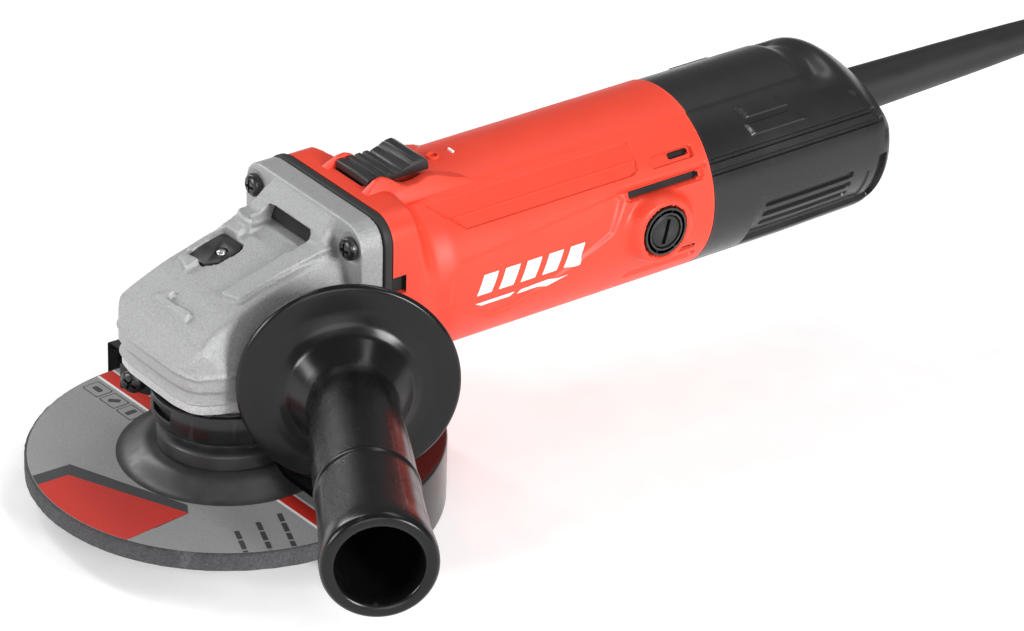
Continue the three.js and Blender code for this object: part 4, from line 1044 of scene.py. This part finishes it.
def brush_springs():
    """Coil springs behind the brushes."""
    turns, steps, sides = 3.5, 18, 8
    for word, side in SIDES:
        verts = []
        for i in range(int(turns * steps) + 1):
            a = i / steps * tau
            centre = Vector((22.2 + 4.3 * i / (turns * steps), 2.4 * cos(a), 2.4 * sin(a)))
            out = Vector((0, cos(a), sin(a)))
            for k in range(sides):
                b = k / sides * tau
                p = centre + 0.35 * (cos(b) * out + sin(b) * Vector((1, 0, 0)))
                verts.append((side * p.x, BRUSH_Y + p.y, AXIS_Z + p.z))
        rings = len(verts) // sides
        faces = grid_faces(rings, sides)
        faces += [tuple(range(sides)), tuple(range((rings - 1) * sides, rings * sides))[::-1]]
        coil = piece(f"brush_coil_{word}", verts, faces, "steel", f"{word}_brush_spring")
        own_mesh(coil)


# ---- cord
CORD_D = 7.6
BEND = 40.0  # radius of the cord's bends down to the floor
COIL_R, COIL_PITCH, COIL_TURNS = 57.6, 7.7, 6.25
COIL_Y = 456.0
PLUG_X, PLUG_Y = 88.0, 516.8


def cord_points():
    """The cord's centre line in mm: out, down to the floor, round the coil and into the plug."""
    low = FLOOR_Z + CORD_D / 2
    turn = acos(1 - (CORD_Z - low) / (2 * BEND))
    start = 345.0
    points = [(0, 335.3, CORD_Z), (0, 340, CORD_Z)]
    reach = start + 2 * BEND * sin(turn)
    bend = [(BEND * sin(a), BEND * (1 - cos(a))) for a in (turn * i / 9 for i in range(10))]
    points += [(0, start + along, CORD_Z - drop) for along, drop in bend]
    points += [(0, reach - along, low + rise) for along, rise in bend[-2::-1]]
    points.append((0, (reach + COIL_Y) / 2, low))
    per_turn = 40
    total = int(COIL_TURNS * per_turn)
    for i in range(total + 1):
        turns = i / per_turn
        layer = min(turns, COIL_TURNS - turns)
        radius = COIL_R - COIL_PITCH * layer
        rise = float(ramp(turns, COIL_TURNS / 2 - 0.35, COIL_TURNS / 2 + 0.35))
        a = pi - 2 * pi * turns
        points.append((COIL_R + radius * cos(a), COIL_Y + radius * sin(a), low + CORD_D * rise))
    x, y, z = points[-1]
    return points + [(x + 14, y + 0.6, z - 0.2), (PLUG_X - 6, PLUG_Y - 0.3, FLOOR_Z + 9.4),
        (PLUG_X + 3, PLUG_Y, FLOOR_Z + 9)]


def plug():
    half, length = 17.4, 39.8
    outline = filleted([(PLUG_X, PLUG_Y - 5.6, 1), (PLUG_X + 8, PLUG_Y - 8.6, 3),
        (PLUG_X + 18, PLUG_Y - half, 5), (PLUG_X + length, PLUG_Y - half, 2.5),
        (PLUG_X + length, PLUG_Y + half, 2.5), (PLUG_X + 18, PLUG_Y + half, 5),
        (PLUG_X + 8, PLUG_Y + 8.6, 3), (PLUG_X, PLUG_Y + 5.6, 1)], 5)
    body = prism(outline, "Z", FLOOR_Z, FLOOR_Z + 18)
    waist = [rod(1.1, UP, (PLUG_X + 22 + 4 * i, PLUG_Y + s * (half + 0.5), FLOOR_Z - 2), 24, 16)
        for i in range(4) for s in (1, -1)]
    cut(body, *waist)
    pieces = [adopt("plug_moulding", bevelled(body, 1.6, 3, 40), "rubber", "plug_body")]
    for i, side in enumerate((1, -1)):
        at = (PLUG_X + 40.3, PLUG_Y + side * 9.5, FLOOR_Z + 9)
        profile = [(0, 0), (2.4, 0), (2.4, 16.8), (2.0, 18.2), (1.2, 19.0), (0, 19.0)]
        pieces.append(turned(f"plug_contact_{i + 1}", profile, "nickel", f"plug_pin_{i + 1}",
            (1, 0, 0), at, 0.3, 40))
    return pieces


def cord():
    guard_profile = [(0, 233.6), (10.6, 233.6), (10.6, 237.2), (8.0, 237.4), (8.0, 243.4),
        (7.9, 246), (7.5, 262), (7.0, 282), (6.5, 300), (5.9, 317), (5.3, 331), (5.0, 334.6),
        (4.5, 336.2), (0, 336.2)]
    sleeve = turned("strain_relief", guard_profile, "rubber", "cord_guard", ALONG, (0, 0, CORD_Z),
        0.5, 64)
    curve = bpy.data.curves.new("mains_cord", "CURVE")
    curve.dimensions = "3D"
    points = cord_points()
    spline = curve.splines.new("POLY")
    spline.points.add(len(points) - 1)
    for target, p in zip(spline.points, points):
        target.co = (*(c * MM for c in p), 1)
    curve.bevel_depth = CORD_D / 2 * MM
    curve.bevel_resolution = 6
    curve.use_fill_caps = True
    curve.materials.append(FINISH["rubber"])
    obj = placed("mains_cord", curve)
    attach(obj, "housing")
    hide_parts("cord_tube", "cord_coil")
    on_cord = [sleeve, *plug()]


# ---- CAD nodes that keep their own shape
def dress_nodes():
    dress = {
        "steel": ["spindle", "spindle_bearing", "spindle_top_bearing", "armature_shaft",
                  "front_bearing", "rear_bearing"],
        "gear": ["bevel_gear", "pinion"],
        "copper": ["armature_winding", "commutator", "upper_field_coil", "lower_field_coil"],
        "iron": ["armature_core", "stator_core"],
        "carbon": ["right_carbon_brush", "left_carbon_brush"],
        "nylon": ["cooling_fan", "fan_baffle", "switch_body"],
        "switch": ["switch_rod", "cord_clamp", "right_brush_holder", "left_brush_holder"],
        "screw": ["cord_clamp_screw_1", "cord_clamp_screw_2"],
    }
    for finish, names in dress.items():
        for name in names:
            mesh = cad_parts[name].data
            mesh.materials.clear()
            mesh.materials.append(FINISH[finish])


camera()
studio()
cord()
dress_nodes()
motor_housing()
rear_cover()
gear_housing()
lock_button()
gasket()
screws()
grinding_wheel()
flanges()
guard()
side_handle()
switch()
brush_caps()
brush_springs()
